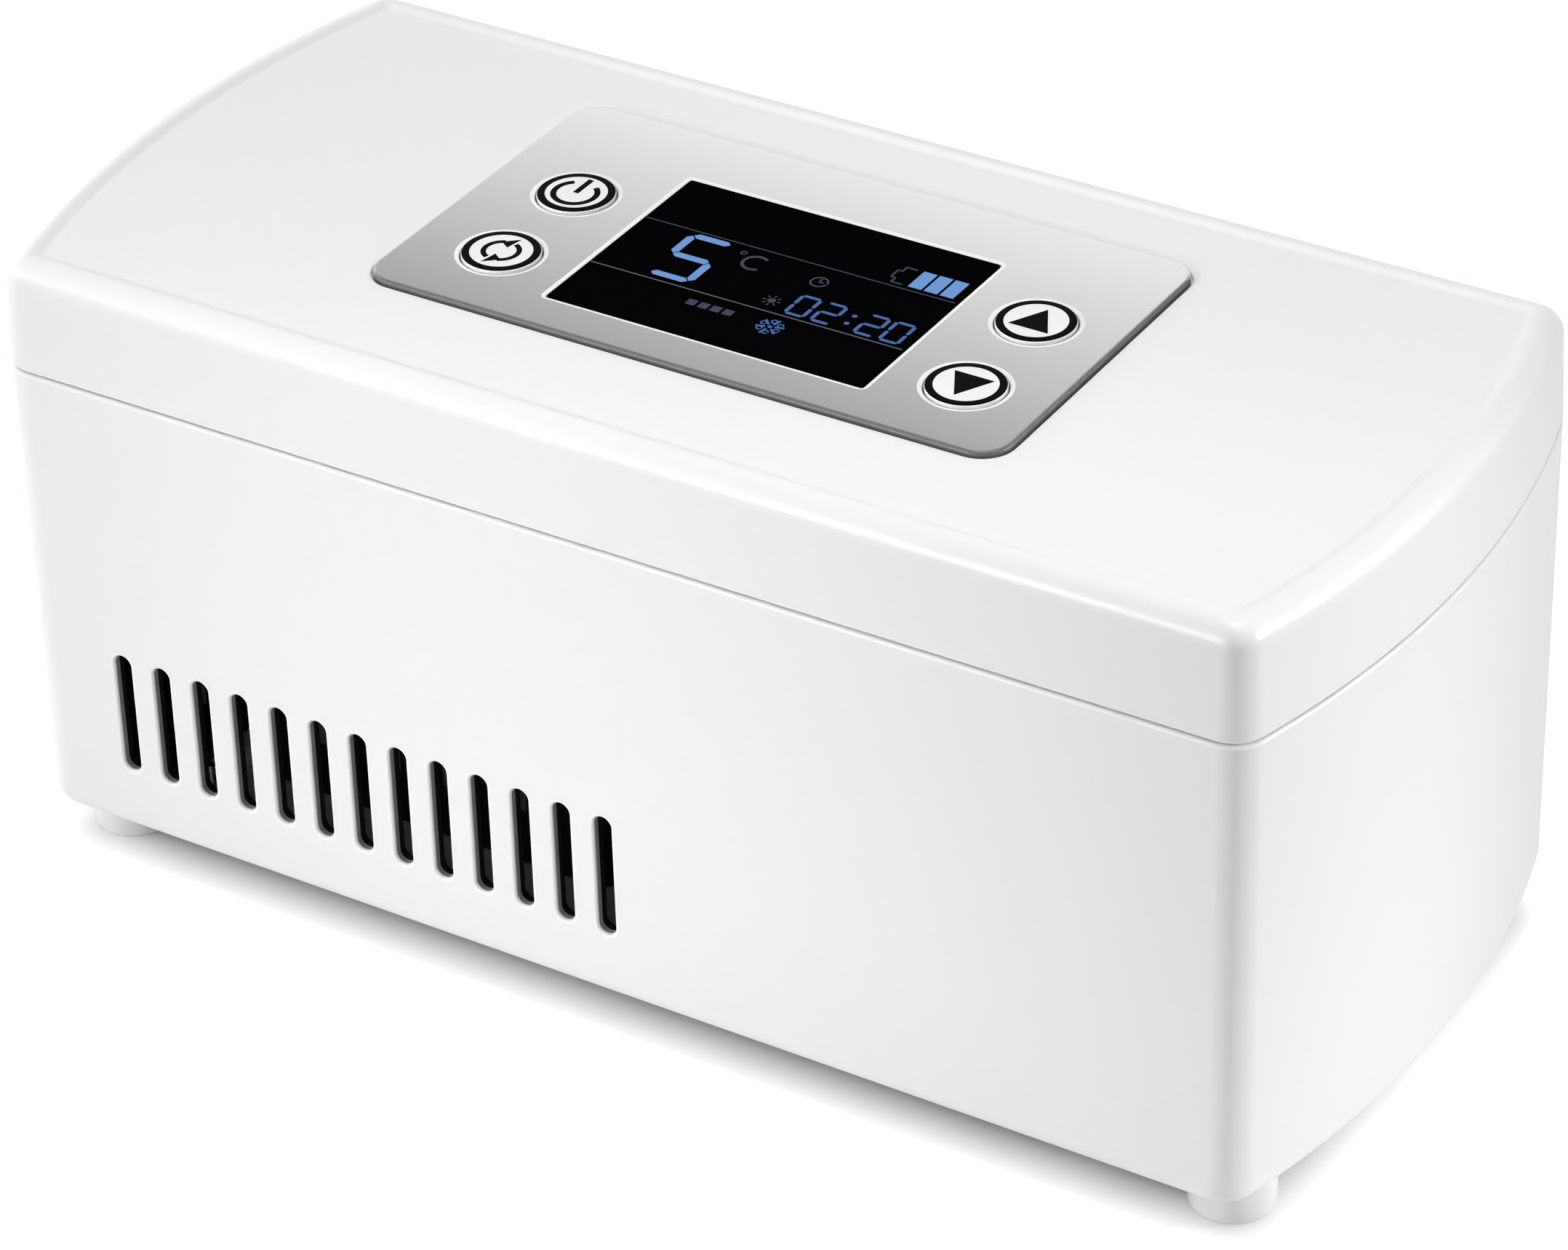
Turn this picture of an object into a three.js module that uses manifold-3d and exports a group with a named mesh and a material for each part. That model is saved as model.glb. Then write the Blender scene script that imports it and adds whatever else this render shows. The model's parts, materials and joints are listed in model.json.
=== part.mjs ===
// Insulin cooling case: a white box with a Peltier cooled medicine chamber under a hinged lid.
// The lid carries a display and four push buttons, and a fan behind the vents cools the heat sink.
// Millimetres, +Z up, +X along the length, the vented front faces -Y.
// The origin is on the floor under the middle of the case.

import * as THREE from 'three';
import { mergeVertices } from 'three/addons/utils/BufferGeometryUtils.js';
import Module from 'manifold-3d';

const wasm = await Module();
wasm.setup();

// Fits that all pieces share
const seatGap = 0.3; // between pieces that rest on, or are held by, each other
const runGap = 0.4; // between pieces that turn or slide past each other
const overrun = 1; // how far a cut runs past the face that it opens
const embed = 0.5; // how deep a rib or boss starts inside the wall that carries it

// Outline of the case from above
const caseLength = 205;
const caseWidth = 93.6;
const caseBulge = 7.1; // how far an end bows out past its corners
const caseCorner = 5;
const innerCorner = 1.5; // least corner radius of a drawn-in outline

// Case body
const bodyHeight = 72.6; // underside to seam
const bodyEdge = 2.5; // rounding between the walls and the underside
const caseWall = 2.4;
const caseFloor = 3;
const seamGap = 0.4;
const lipChamfer = 0.4;

// Lid
const lidHeight = 16.5; // seam to the crest of the rim
const lidWall = 2.2;
const lidSkin = 2.2;
const lidLean = 0.5; // how far a side leans in between the seam and the roll
const lidRoll = 3.4; // radius of the roll that ends the side
const rimDrop = 0.4; // crest of the rim down to the face inside it
const rimSlope = 1.8;
const cavityShoulder = 2.2; // how far the hollow of the lid draws in under the roll

// Feet
const footRadius = 6;
const footHeight = 7.3;
const footEdge = 0.9;
const footStemRadius = 2;
const footStemLength = 2;
const footInsetX = 12.8;
const footInsetY = 11.4;

// Vents in the front and rear walls
const ventCount = 13;
const ventPitch = 6.66;
const ventWidth = 2.8;
const ventHeight = 19.3;
const ventEndInset = 22.4; // end of the case to the middle of the first slot
const ventLift = 10.55; // underside of the case to the lower ends of the slots

// Base plate in the floor of the case
const basePlateThick = 1.5;
const basePlateMargin = 20.5; // end of the case to the end of the plate
const basePlateSide = 6.3; // front or rear face to the side of the plate
const basePlateCorner = 6;
const baseLip = 3; // how much of the plate the floor covers
const grilleWidth = 3;
const grillePitch = 6;

// Screws
const screwRadius = 1.25;
const screwHeadRadius = 2.6;
const screwHeadHeight = 1;
const screwGap = 0.35;
const baseScrewInset = 6; // edge of the base plate to the screw
const baseBossRadius = 4.2;
const baseBossHeight = 7;
const baseScrewLength = 6;

// Shelf and ledge inside the case
const shelfWidth = 5;
const shelfThick = 2;
const shelfDrop = 36.7; // seam down to the top of the shelf
const ledgeWidth = 2;
const ledgeThick = 2;

// Deck around the chamber
const deckThick = 2;
const deckDrop = 1.2; // seam down to the top of the deck

// Chamber
const chamberEndInset = 20.5; // end of the case to the end of the chamber
const chamberSide = 18.8; // front or rear face to the side of the chamber
const chamberCorner = 8;
const chamberDepth = 25.2; // liner floor to the flange's top
const linerThick = 1;
const linerFlange = 4;

// Cooling stack, centred between the left end and the battery
const coolerInset = 19; // end of the case to the space that holds the stack
const coldPlateLength = 62;
const coldPlateWidth = 44;
const coldPlateThick = 4;
const peltierSize = 40;
const peltierThick = 3.8;
const sinkLength = 68;
const sinkSide = 8.8; // front or rear face to the side of the heat sink
const sinkBase = 3;
const finCount = 17;
const finThick = 1.2;
const finHeight = 12.1;
const clampReach = 26; // middle of the cold plate to a clamp screw
const clampWell = 1; // room between a clamp screw's head and the fins
const clampBite = 3; // how far a clamp screw goes into the cold plate

// Fan under the heat sink
const fanSize = 60;
const fanHeight = 15;
const fanCorner = 4;
const fanBoreMargin = 1.4;
const fanHubRadius = 12.5;
const fanHubPlate = 2;
const fanStrutWidth = 3;
const fanPostRadius = 2.8;
const fanPostHeight = 7;
const rotorTopGap = 1;
const rotorTipGap = 0.8;
const bladeCount = 7;
const bladeChord = 13;
const bladeThick = 1.2;
const bladePitch = 35; // degrees from level
const fanHoleInset = 5;
const fanScrewBite = 6;

// Battery
const cellRadius = 9.1;
const cellLength = 65;
const cellCount = 3;
const cellPitch = 19.2;
const cellStartX = 3.5; // middle of the case to the first end of the cells
const cellNubRadius = 3;
const cellNub = 0.9;
const holderFloor = 1.2;
const holderSide = 1.6;
const holderHeight = 6;
const holderEndHeight = 15;

// Power board over the battery
const boardThick = 1.6;
const powerBoardEndInset = 14;
const powerBoardWallGap = 0.4;
const postRadius = 3;
const stakeRadius = 1.2;
const stakeRise = 0.8;
const postInset = 3.5; // edge of a board to its post
const coilRadius = 6;
const coilHeight = 5.5;
const capRadius = 3.5;
const capHeight = 6.5;
const chipSize = 9;
const chipHeight = 1.4;

// Power inlet in the rear wall
const inletInset = 40.5; // right end of the case to the middle of the inlet
const inletWidth = 9;
const inletHeight = 7;
const inletDepth = 12;
const inletNoseRadius = 3.3;
const inletNoseRecess = 0.5;
const inletBoreRadius = 2.7;
const inletBoreDepth = 9;
const inletPinRadius = 0.9;

// Temperature sensor under the liner
const sensorInset = 37; // end of the chamber to the middle of the sensor
const sensorRadius = 1.5;
const sensorLength = 9;

// Hinge between the rear walls
const hingeInset = 2.2; // pin axis to the rear face
const hingeRail = 2.2; // pin axis to the inner face of the rails
const railHeight = 5;
const knuckleRadius = 2;
const knuckleLength = 8;
const knuckleWeb = 0.8; // how far a knuckle's web reaches past the axis
const hingePinRadius = 0.8;
const hingePinGap = 0.25;
const hingeSetInset = 42.5; // end of the case to the middle of a hinge set
const grooveAngle = 55; // degrees, slope of each side of the groove that lets the lid swing

// Liner and insulation in the lid
const lidLinerThick = 2;
const lidLinerLift = 0.8; // seam to the underside of the lid's liner
const plugClearance = 2; // between the plug and the edge of the chamber
const plugReach = 1.6; // how far the plug goes below the top of the deck
const plugWall = 1.5;
const lidFoamRise = 4.1; // how far the foam stands above the liner
const gasketWidth = 3;
const gasketOffset = 1; // edge of the chamber to the gasket
const lidScrewInsetX = 13.5;
const lidScrewInsetY = 15.8;
const lidScrewLength = 8;
const lidBossRadius = 3.6;

// Closing magnets
const magnetRadius = 4;
const magnetThick = 1.1;
const magnetEndInset = 42.5; // end of the case to the middle of a magnet
const magnetInset = 9.8; // front face to the middle of a magnet

// Control panel, display and buttons
const panelX = -0.4;
const panelY = 2.5;
const panelLength = 98.4;
const panelWidth = 56.2;
const panelCorner = 4.5;
const panelThick = 1.2;
const panelRise = 0.7; // how far the panel stands above the lid's face
const displayShiftX = 0.7; // middle of the panel to the middle of the display
const displayShiftY = -2.7;
const displayLength = 49.4;
const displayWidth = 36.8;
const displayGap = 0.2;
const displayRise = 0.05;
const lcdMargin = 4; // display edge to the module's edge
const lcdThick = 2.6;
const controlBoardMargin = 2; // panel edge to the board's edge
const buttonShift = 0.75; // how far a button stands from midway between the display and the panel's end
const buttonY = 9.3;
const buttonRowShift = -4.9; // middle of the panel to midway between the rows of buttons
const buttonRadius = 5.5;
const buttonRise = 0.35;
const buttonBevel = 0.3;
const buttonFlange = 1.1;
const buttonFlangeThick = 0.7;
const buttonStemRadius = 1.5;
const buttonTravel = 0.6;
const switchSize = 6;

// Numbers of steps in round forms
const endSteps = 4;
const cornerSteps = 3;
const edgeSteps = 3;
const slotSteps = 3;
const roundSteps = 16;
const smallSteps = 8;

// Heights that the pieces share
const baseZ = footHeight;
const floorTopZ = baseZ + caseFloor;
const seamZ = baseZ + bodyHeight;
const bodyTopZ = seamZ - seamGap / 2;
const lidBottomZ = seamZ + seamGap / 2;
const crestZ = seamZ + lidHeight;
const lidFaceZ = crestZ - rimDrop;
const skinZ = lidFaceZ - lidSkin;
const deckTopZ = seamZ - deckDrop;
const deckZ = deckTopZ - deckThick;
const ledgeTopZ = deckZ - seatGap;
const flangeTopZ = deckZ - seatGap;
const foamTopZ = flangeTopZ - linerThick - seatGap;
const linerFloorZ = flangeTopZ - chamberDepth;
const linerZ = linerFloorZ - linerThick;
const shelfTopZ = seamZ - shelfDrop;
const foamZ = shelfTopZ + seatGap;
const coldPlateTopZ = linerZ - seatGap;
const coldPlateZ = coldPlateTopZ - coldPlateThick;
const peltierZ = coldPlateZ - seatGap - peltierThick;
const sinkTopZ = peltierZ - seatGap;
const sinkBaseZ = sinkTopZ - sinkBase;
const finZ = sinkBaseZ - finHeight;
const basePlateTopZ = baseZ + basePlateThick;
const fanZ = floorTopZ + seatGap;
const holderZ = floorTopZ + seatGap;
const cellZ = holderZ + holderFloor + seatGap + cellRadius;
const powerBoardZ = cellZ + cellRadius + seatGap;
const powerBoardTopZ = powerBoardZ + boardThick;
const inletZ = powerBoardTopZ + seatGap + inletHeight / 2;
const panelTopZ = lidFaceZ + panelRise;
const panelZ = panelTopZ - panelThick;
const pocketZ = panelZ - seatGap;
const buttonFlangeTopZ = skinZ - seatGap;
const buttonFlangeZ = buttonFlangeTopZ - buttonFlangeThick;
const lcdTopZ = buttonFlangeZ - seatGap;
const lcdZ = lcdTopZ - lcdThick;
const controlBoardTopZ = lcdZ - seatGap;
const controlBoardZ = controlBoardTopZ - boardThick;
const switchZ = controlBoardTopZ + seatGap;
const switchTopZ = buttonFlangeZ - buttonTravel - seatGap;
const lidLinerZ = seamZ + lidLinerLift;
const lidLinerTopZ = lidLinerZ + lidLinerThick;
const plugZ = deckTopZ - plugReach;

// Places and lengths that the pieces share
const rearY = caseWidth / 2;
const hingeY = rearY - hingeInset;
const railY = hingeY - hingeRail;
const innerHalfWidth = caseWidth / 2 - caseWall;
const basePlateLength = caseLength - 2 * basePlateMargin;
const basePlateWidth = caseWidth - 2 * basePlateSide;
const chamberLength = caseLength - 2 * chamberEndInset;
const chamberWidth = caseWidth - 2 * chamberSide;
const coolerX = (cellStartX - caseLength / 2 + coolerInset) / 2;
const sinkWidth = caseWidth - 2 * sinkSide;
const fanBoreRadius = fanSize / 2 - fanBoreMargin;
const cellMiddleX = cellStartX + cellLength / 2;
const powerBoardEndX = caseLength / 2 - powerBoardEndInset;
const powerBoardHalfWidth = innerHalfWidth - powerBoardWallGap;
const inletX = caseLength / 2 - inletInset;
const sensorX = chamberLength / 2 - sensorInset;
const magnetX = caseLength / 2 - magnetEndInset;
const magnetY = magnetInset - caseWidth / 2;
const displayX = panelX + displayShiftX;
const displayY = panelY + displayShiftY;
const buttonRowY = panelY + buttonRowShift;
const buttonX = (displayLength + panelLength) / 4 - buttonShift;
const corners = [[-1, -1], [1, -1], [-1, 1], [1, 1]];
const cornerNames = ['front_left', 'front_right', 'rear_left', 'rear_right'];

const axisX = new THREE.Vector3(1, 0, 0);
const axisY = new THREE.Vector3(0, 1, 0);
const axisZ = new THREE.Vector3(0, 0, 1);

// Turns a closed geometry into a solid that can be joined and cut.
function solidOf(geometry) {
  const bare = geometry.clone();
  bare.deleteAttribute('normal');
  bare.deleteAttribute('uv');
  const merged = mergeVertices(bare);
  const corner = merged.index.array;
  const triangles = [];
  for (let i = 0; i < corner.length; i += 3) {
    const [a, b, c] = [corner[i], corner[i + 1], corner[i + 2]];
    if (a !== b && b !== c && c !== a) triangles.push(a, b, c);
  }
  return new wasm.Manifold(new wasm.Mesh({
    numProp: 3,
    vertProperties: new Float32Array(merged.attributes.position.array),
    triVerts: new Uint32Array(triangles),
  }));
}

function geometryOf(solid) {
  const mesh = solid.getMesh();
  const geometry = new THREE.BufferGeometry();
  geometry.setAttribute('position', new THREE.BufferAttribute(new Float32Array(mesh.vertProperties), 3));
  geometry.setIndex(new THREE.BufferAttribute(new Uint32Array(mesh.triVerts), 1));
  geometry.computeVertexNormals();
  return geometry;
}

function joined(first, ...others) {
  return others.reduce((whole, next) => whole.add(next), first);
}

function cut(first, ...others) {
  return others.reduce((whole, next) => whole.subtract(next), first);
}

// A block between two values on each axis.
function block(x0, x1, y0, y1, z0, z1) {
  const geometry = new THREE.BoxGeometry(x1 - x0, y1 - y0, z1 - z0);
  geometry.translate((x0 + x1) / 2, (y0 + y1) / 2, (z0 + z1) / 2);
  return solidOf(geometry);
}

// A block centred on a point of the plan, between two heights.
function slab(length, width, z0, z1, x = 0, y = 0) {
  return block(x - length / 2, x + length / 2, y - width / 2, y + width / 2, z0, z1);
}

function roundedRectangle(length, width, radius) {
  const [a, b] = [length / 2, width / 2];
  const shape = new THREE.Shape();
  shape.moveTo(a, radius - b);
  shape.absarc(a - radius, b - radius, radius, 0, Math.PI / 2);
  shape.absarc(radius - a, b - radius, radius, Math.PI / 2, Math.PI);
  shape.absarc(radius - a, radius - b, radius, Math.PI, 1.5 * Math.PI);
  shape.absarc(a - radius, radius - b, radius, 1.5 * Math.PI, 2 * Math.PI);
  return shape;
}

// An upright plate with round corners, between two heights.
function plate(length, width, radius, z0, z1, x = 0, y = 0) {
  const outline = roundedRectangle(length, width, radius);
  const run = { depth: z1 - z0, bevelEnabled: false, curveSegments: cornerSteps };
  const geometry = new THREE.ExtrudeGeometry(outline, run);
  geometry.translate(x, y, z0);
  return solidOf(geometry);
}

// A rod between two heights.
function post(radius, z0, z1, x = 0, y = 0, steps = smallSteps) {
  const geometry = new THREE.CylinderGeometry(radius, radius, z1 - z0, steps);
  geometry.rotateX(Math.PI / 2);
  geometry.translate(x, y, (z0 + z1) / 2);
  return solidOf(geometry);
}

// A rod along X.
function rodX(radius, x0, x1, y, z, steps = smallSteps) {
  const geometry = new THREE.CylinderGeometry(radius, radius, x1 - x0, steps);
  geometry.rotateZ(Math.PI / 2);
  geometry.translate((x0 + x1) / 2, y, z);
  return solidOf(geometry);
}

// A rod along Y.
function rodY(radius, y0, y1, x, z, steps = smallSteps) {
  const geometry = new THREE.CylinderGeometry(radius, radius, y1 - y0, steps);
  geometry.translate(x, (y0 + y1) / 2, z);
  return solidOf(geometry);
}

// A turned piece from its profile of [radius, height] points, which starts and ends on the axis.
function turned(profile, steps) {
  const geometry = new THREE.LatheGeometry(profile.map(([r, z]) => new THREE.Vector2(r, z)), steps);
  geometry.rotateX(Math.PI / 2);
  return solidOf(geometry);
}

// One quarter of the case's outline, drawn in by inset, from the middle of an end to the flat side.
function quarterOutline(inset) {
  const halfWidth = caseWidth / 2 - inset;
  const endRadius = (caseBulge ** 2 + (caseWidth / 2) ** 2) / (2 * caseBulge);
  const endX = caseLength / 2 - endRadius;
  const radius = Math.max(caseCorner - inset, innerCorner);
  const reach = endRadius - inset - radius;
  const cornerY = halfWidth - radius;
  const cornerX = endX + Math.sqrt(reach ** 2 - cornerY ** 2);
  const turn = Math.atan2(cornerY, cornerX - endX);
  const points = [];
  for (let i = 0; i < endSteps; i += 1) {
    const angle = (turn * i) / endSteps;
    points.push([endX + (endRadius - inset) * Math.cos(angle), (endRadius - inset) * Math.sin(angle)]);
  }
  for (let i = 0; i <= cornerSteps; i += 1) {
    const angle = turn + ((Math.PI / 2 - turn) * i) / cornerSteps;
    points.push([cornerX + radius * Math.cos(angle), cornerY + radius * Math.sin(angle)]);
  }
  return points;
}

function caseOutline(inset) {
  const quarter = quarterOutline(inset);
  const back = [...quarter].reverse();
  const half = [...quarter, ...back.map(([x, y]) => [-x, y])];
  return [...half, ...half.slice(1, -1).reverse().map(([x, y]) => [x, -y])];
}

// Everything behind a value of Y along the whole case, between two heights.
function rearStrip(y, z0, z1) {
  return block(-caseLength / 2, caseLength / 2, y, rearY, z0, z1);
}

// A solid with the case's outline at each level, given as [height, inset] from the bottom up.
function caseLoft(levels) {
  const rings = levels.map(([, inset]) => caseOutline(inset));
  const count = rings[0].length;
  const positions = rings.flatMap((ring, level) => ring.flatMap(([x, y]) => [x, y, levels[level][0]]));
  const index = [];
  const top = (levels.length - 1) * count;
  for (let level = 0; level < levels.length - 1; level += 1) {
    for (let i = 0; i < count; i += 1) {
      const [a, b] = [level * count + i, level * count + ((i + 1) % count)];
      index.push(a, b, b + count, a, b + count, a + count);
    }
  }
  for (let i = 1; i < count - 1; i += 1) {
    index.push(0, i + 1, i, top, top + i, top + i + 1);
  }
  const geometry = new THREE.BufferGeometry();
  geometry.setAttribute('position', new THREE.Float32BufferAttribute(positions, 3));
  geometry.setIndex(index);
  return solidOf(geometry);
}

function caseSlice(inset, z0, z1) {
  return caseLoft([[z0, inset], [z1, inset]]);
}

// A profile in the Y-Z plane, run along the whole length of the case.
function lengthwise(points) {
  const shape = new THREE.Shape(points.map(([y, z]) => new THREE.Vector2(y, z)));
  const geometry = new THREE.ExtrudeGeometry(shape, { depth: caseLength, bevelEnabled: false });
  geometry.applyMatrix4(new THREE.Matrix4().makeBasis(axisY, axisZ, axisX));
  geometry.translate(-caseLength / 2, 0, 0);
  return solidOf(geometry);
}

// How far the lid's side leans in at a height.
function leanAt(z) {
  return (lidLean * (z - lidBottomZ)) / (crestZ - lidRoll - lidBottomZ);
}

// Hinge: two sets, each with one knuckle of the lid between two of the case.
const knuckleStep = knuckleLength + runGap;
const hingeSets = [-1, 1].map((side) => side * (caseLength / 2 - hingeSetInset));

function knuckles(places, radius, growth) {
  const half = knuckleLength / 2 + growth;
  return places.map((x) => rodX(radius, x - half, x + half, hingeY, seamZ));
}

const caseKnuckleX = hingeSets.flatMap((x) => [x - knuckleStep, x + knuckleStep]);

function knuckleWebs(places, z0, z1) {
  return places.map((x) => block(
    x - knuckleLength / 2, x + knuckleLength / 2, railY, hingeY + knuckleWeb, z0, z1,
  ));
}

function hingePinBores() {
  const half = knuckleStep + knuckleLength / 2 + overrun;
  return hingeSets.map((x) => rodX(hingePinRadius + hingePinGap, x - half, x + half, hingeY, seamZ));
}

// The groove that opens behind the hinge axis, below the seam for the case or above it for the lid.
function hingeGroove(side, edgeZ) {
  const reach = hingeInset + overrun;
  const drop = reach * Math.tan(THREE.MathUtils.degToRad(grooveAngle));
  return lengthwise([
    [hingeY, edgeZ],
    [hingeY, seamZ - side * overrun],
    [hingeY + reach, seamZ - side * overrun],
    [hingeY + reach, edgeZ + side * drop],
  ]);
}

// Vent slots, upright with round ends, cut along Y through one wall.
function ventSlots(y0, y1) {
  const [half, straight] = [ventWidth / 2, (ventHeight - ventWidth) / 2];
  const shape = new THREE.Shape();
  shape.moveTo(half, -straight);
  shape.absarc(0, straight, half, 0, Math.PI);
  shape.absarc(0, -straight, half, Math.PI, 2 * Math.PI);
  const run = { depth: y1 - y0, bevelEnabled: false, curveSegments: slotSteps };
  const slots = [];
  for (let i = 0; i < ventCount; i += 1) {
    const geometry = new THREE.ExtrudeGeometry(shape, run);
    geometry.applyMatrix4(new THREE.Matrix4().makeBasis(axisX, axisZ, axisY.clone().negate()));
    geometry.translate(ventEndInset - caseLength / 2 + i * ventPitch, y1, baseZ + ventLift + ventHeight / 2);
    slots.push(solidOf(geometry));
  }
  return slots;
}

// Places of the fasteners and feet, one in each corner.
const footPlaces = corners.map(([x, y]) => [
  x * (caseLength / 2 - footInsetX), y * (caseWidth / 2 - footInsetY),
]);
const baseScrewPlaces = corners.map(([x, y]) => [
  x * (basePlateLength / 2 - baseScrewInset), y * (basePlateWidth / 2 - baseScrewInset),
]);
const fanScrewPlaces = corners.map(([x, y]) => [
  coolerX + x * (fanSize / 2 - fanHoleInset), y * (fanSize / 2 - fanHoleInset),
]);
const lidScrewPlaces = corners.map(([x, y]) => [
  x * (caseLength / 2 - lidScrewInsetX), y * (caseWidth / 2 - lidScrewInsetY),
]);
const powerPostPlaces = corners.map(([x, y]) => [
  x < 0 ? cellStartX + postInset : powerBoardEndX - postInset, y * (powerBoardHalfWidth - postInset),
]);
const controlBoardLength = panelLength - 2 * controlBoardMargin;
const controlBoardWidth = panelWidth - 2 * controlBoardMargin;
const controlPostPlaces = corners.map(([x, y]) => [
  panelX + x * (controlBoardLength / 2 - postInset), panelY + y * (controlBoardWidth / 2 - postInset),
]);
const buttonPlaces = {
  power: [displayX - buttonX, buttonRowY + buttonY],
  mode: [displayX - buttonX, buttonRowY - buttonY],
  up: [displayX + buttonX, buttonRowY + buttonY],
  down: [displayX + buttonX, buttonRowY - buttonY],
};

function caseShell() {
  const levels = [];
  for (let i = 0; i <= edgeSteps; i += 1) {
    const angle = (Math.PI / 2) * (i / edgeSteps);
    levels.push([baseZ + bodyEdge * (1 - Math.cos(angle)), bodyEdge * (1 - Math.sin(angle))]);
  }
  levels.push([bodyTopZ - lipChamfer, 0], [bodyTopZ, lipChamfer]);
  const outer = caseLoft(levels);
  const hollow = caseSlice(caseWall, floorTopZ, seamZ + overrun);
  const ring = (width, z0, z1) => cut(
    caseSlice(caseWall - embed, z0, z1),
    caseSlice(caseWall + width, z0 - overrun, z1 + overrun),
  );
  const rail = rearStrip(railY, ledgeTopZ - ledgeThick, bodyTopZ).intersect(outer);
  const rebateZ = basePlateTopZ + seatGap;
  const bosses = baseScrewPlaces.map(([x, y]) => post(
    baseBossRadius, rebateZ, rebateZ + baseBossHeight, x, y,
  ));
  const boardPosts = powerPostPlaces.flatMap(([x, y]) => [
    post(postRadius, floorTopZ - embed, powerBoardZ - seatGap, x, y),
    post(stakeRadius, floorTopZ, powerBoardTopZ + stakeRise, x, y),
  ]);
  const walls = cut(
    joined(cut(outer, hollow), ring(shelfWidth, shelfTopZ - shelfThick, shelfTopZ),
      ring(ledgeWidth, ledgeTopZ - ledgeThick, ledgeTopZ), rail),
    basePlateCore(0, baseZ - overrun, floorTopZ + overrun),
    plate(basePlateLength, basePlateWidth, basePlateCorner, baseZ - overrun, rebateZ),
    hingeGroove(-1, bodyTopZ),
  );
  return cut(
    joined(walls, ...bosses, ...boardPosts, ...knuckles(caseKnuckleX, knuckleRadius, 0),
      ...knuckleWebs(caseKnuckleX, ledgeTopZ, seamZ)),
    ...knuckles(hingeSets, knuckleRadius + runGap, runGap),
    ...hingePinBores(),
    ...ventSlots(-rearY - overrun, -innerHalfWidth + overrun),
    ...ventSlots(innerHalfWidth - overrun, rearY + overrun),
    rodY(inletNoseRadius + seatGap, innerHalfWidth - overrun, rearY + overrun, inletX, inletZ, roundSteps),
    ...footPlaces.map(([x, y]) => post(
      footStemRadius + seatGap, baseZ - overrun, baseZ + footStemLength + seatGap, x, y,
    )),
    ...baseScrewPlaces.map(([x, y]) => post(screwRadius + screwGap, baseZ, rebateZ + baseScrewLength, x, y)),
  );
}

// The middle of the base plate inside the lip, drawn in all round, between two heights.
function basePlateCore(inset, z0, z1) {
  const drawn = baseLip + inset;
  return plate(basePlateLength - 2 * drawn, basePlateWidth - 2 * drawn, basePlateCorner - drawn, z0, z1);
}

// The base plate, with a core that fills the opening flush with the floor.
function basePlate() {
  const [length, width] = [basePlateLength - 2 * seatGap, basePlateWidth - 2 * seatGap];
  const core = cut(
    basePlateCore(seatGap, basePlateTopZ - embed, floorTopZ),
    ...baseScrewPlaces.map(([x, y]) => post(
      baseBossRadius + seatGap, basePlateTopZ, floorTopZ + overrun, x, y,
    )),
  );
  const body = joined(plate(length, width, basePlateCorner - seatGap, baseZ, basePlateTopZ), core);
  const slots = [];
  const rows = Math.floor((fanBoreRadius - grilleWidth) / grillePitch);
  for (let i = -rows; i <= rows; i += 1) {
    const x = i * grillePitch;
    const half = Math.sqrt((fanBoreRadius - grilleWidth / 2) ** 2 - x ** 2);
    slots.push(slab(grilleWidth, 2 * half, baseZ - overrun, floorTopZ + overrun, coolerX + x));
  }
  const holes = [...baseScrewPlaces, ...fanScrewPlaces].map(([x, y]) => post(
    screwRadius + screwGap, baseZ - overrun, floorTopZ + overrun, x, y,
  ));
  const spine = slab(fanSize, grilleWidth, baseZ, floorTopZ, coolerX);
  return cut(joined(cut(body, ...slots), spine), ...holes);
}

// A foot with its stem, standing on the floor at the origin.
function foot() {
  const top = footHeight - seatGap;
  return turned([
    [0, 0],
    [footRadius - footEdge, 0],
    [footRadius, footEdge],
    [footRadius, top - footEdge],
    [footRadius - footEdge, top],
    [footStemRadius, top],
    [footStemRadius, footHeight + footStemLength],
    [0, footHeight + footStemLength],
  ], roundSteps);
}

// A pan head screw with its shank up +Z and the top of its head at the origin.
function screw(length) {
  return turned([
    [0, -screwHeadHeight],
    [screwHeadRadius, -screwHeadHeight],
    [screwHeadRadius, 0],
    [screwRadius, 0],
    [screwRadius, length],
    [0, length],
  ], smallSteps);
}

function deckBezel() {
  const body = caseSlice(caseWall + seatGap, deckZ, deckTopZ);
  return cut(
    body,
    rearStrip(railY - seatGap, deckZ - overrun, deckTopZ + overrun),
    chamberPlate(0, deckZ - overrun, deckTopZ + overrun),
    ...[-magnetX, magnetX].map((x) => post(
      magnetRadius + seatGap, deckTopZ - magnetThick - seatGap, deckTopZ + overrun, x, magnetY, roundSteps,
    )),
  );
}

// The chamber's outline, grown all round, between two heights.
function chamberPlate(growth, z0, z1) {
  return plate(chamberLength + 2 * growth, chamberWidth + 2 * growth, chamberCorner + growth, z0, z1);
}

function chamberLiner() {
  return cut(
    joined(
      chamberPlate(linerThick, linerZ, flangeTopZ),
      chamberPlate(linerThick + linerFlange, flangeTopZ - linerThick, flangeTopZ),
    ),
    chamberPlate(0, linerFloorZ, flangeTopZ + overrun),
  );
}

function chamberInsulation() {
  const sensorWidth = 2 * (sensorRadius + seatGap);
  return cut(
    caseSlice(caseWall + ledgeWidth + seatGap, foamZ, foamTopZ),
    chamberPlate(linerThick + seatGap, linerZ - seatGap, foamTopZ + overrun),
    slab(coldPlateLength + 2 * seatGap, coldPlateWidth + 2 * seatGap, foamZ - overrun, linerZ, coolerX),
    slab(sensorLength + 2 * seatGap, sensorWidth, linerZ - seatGap - sensorWidth, linerZ, sensorX),
  );
}

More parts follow.
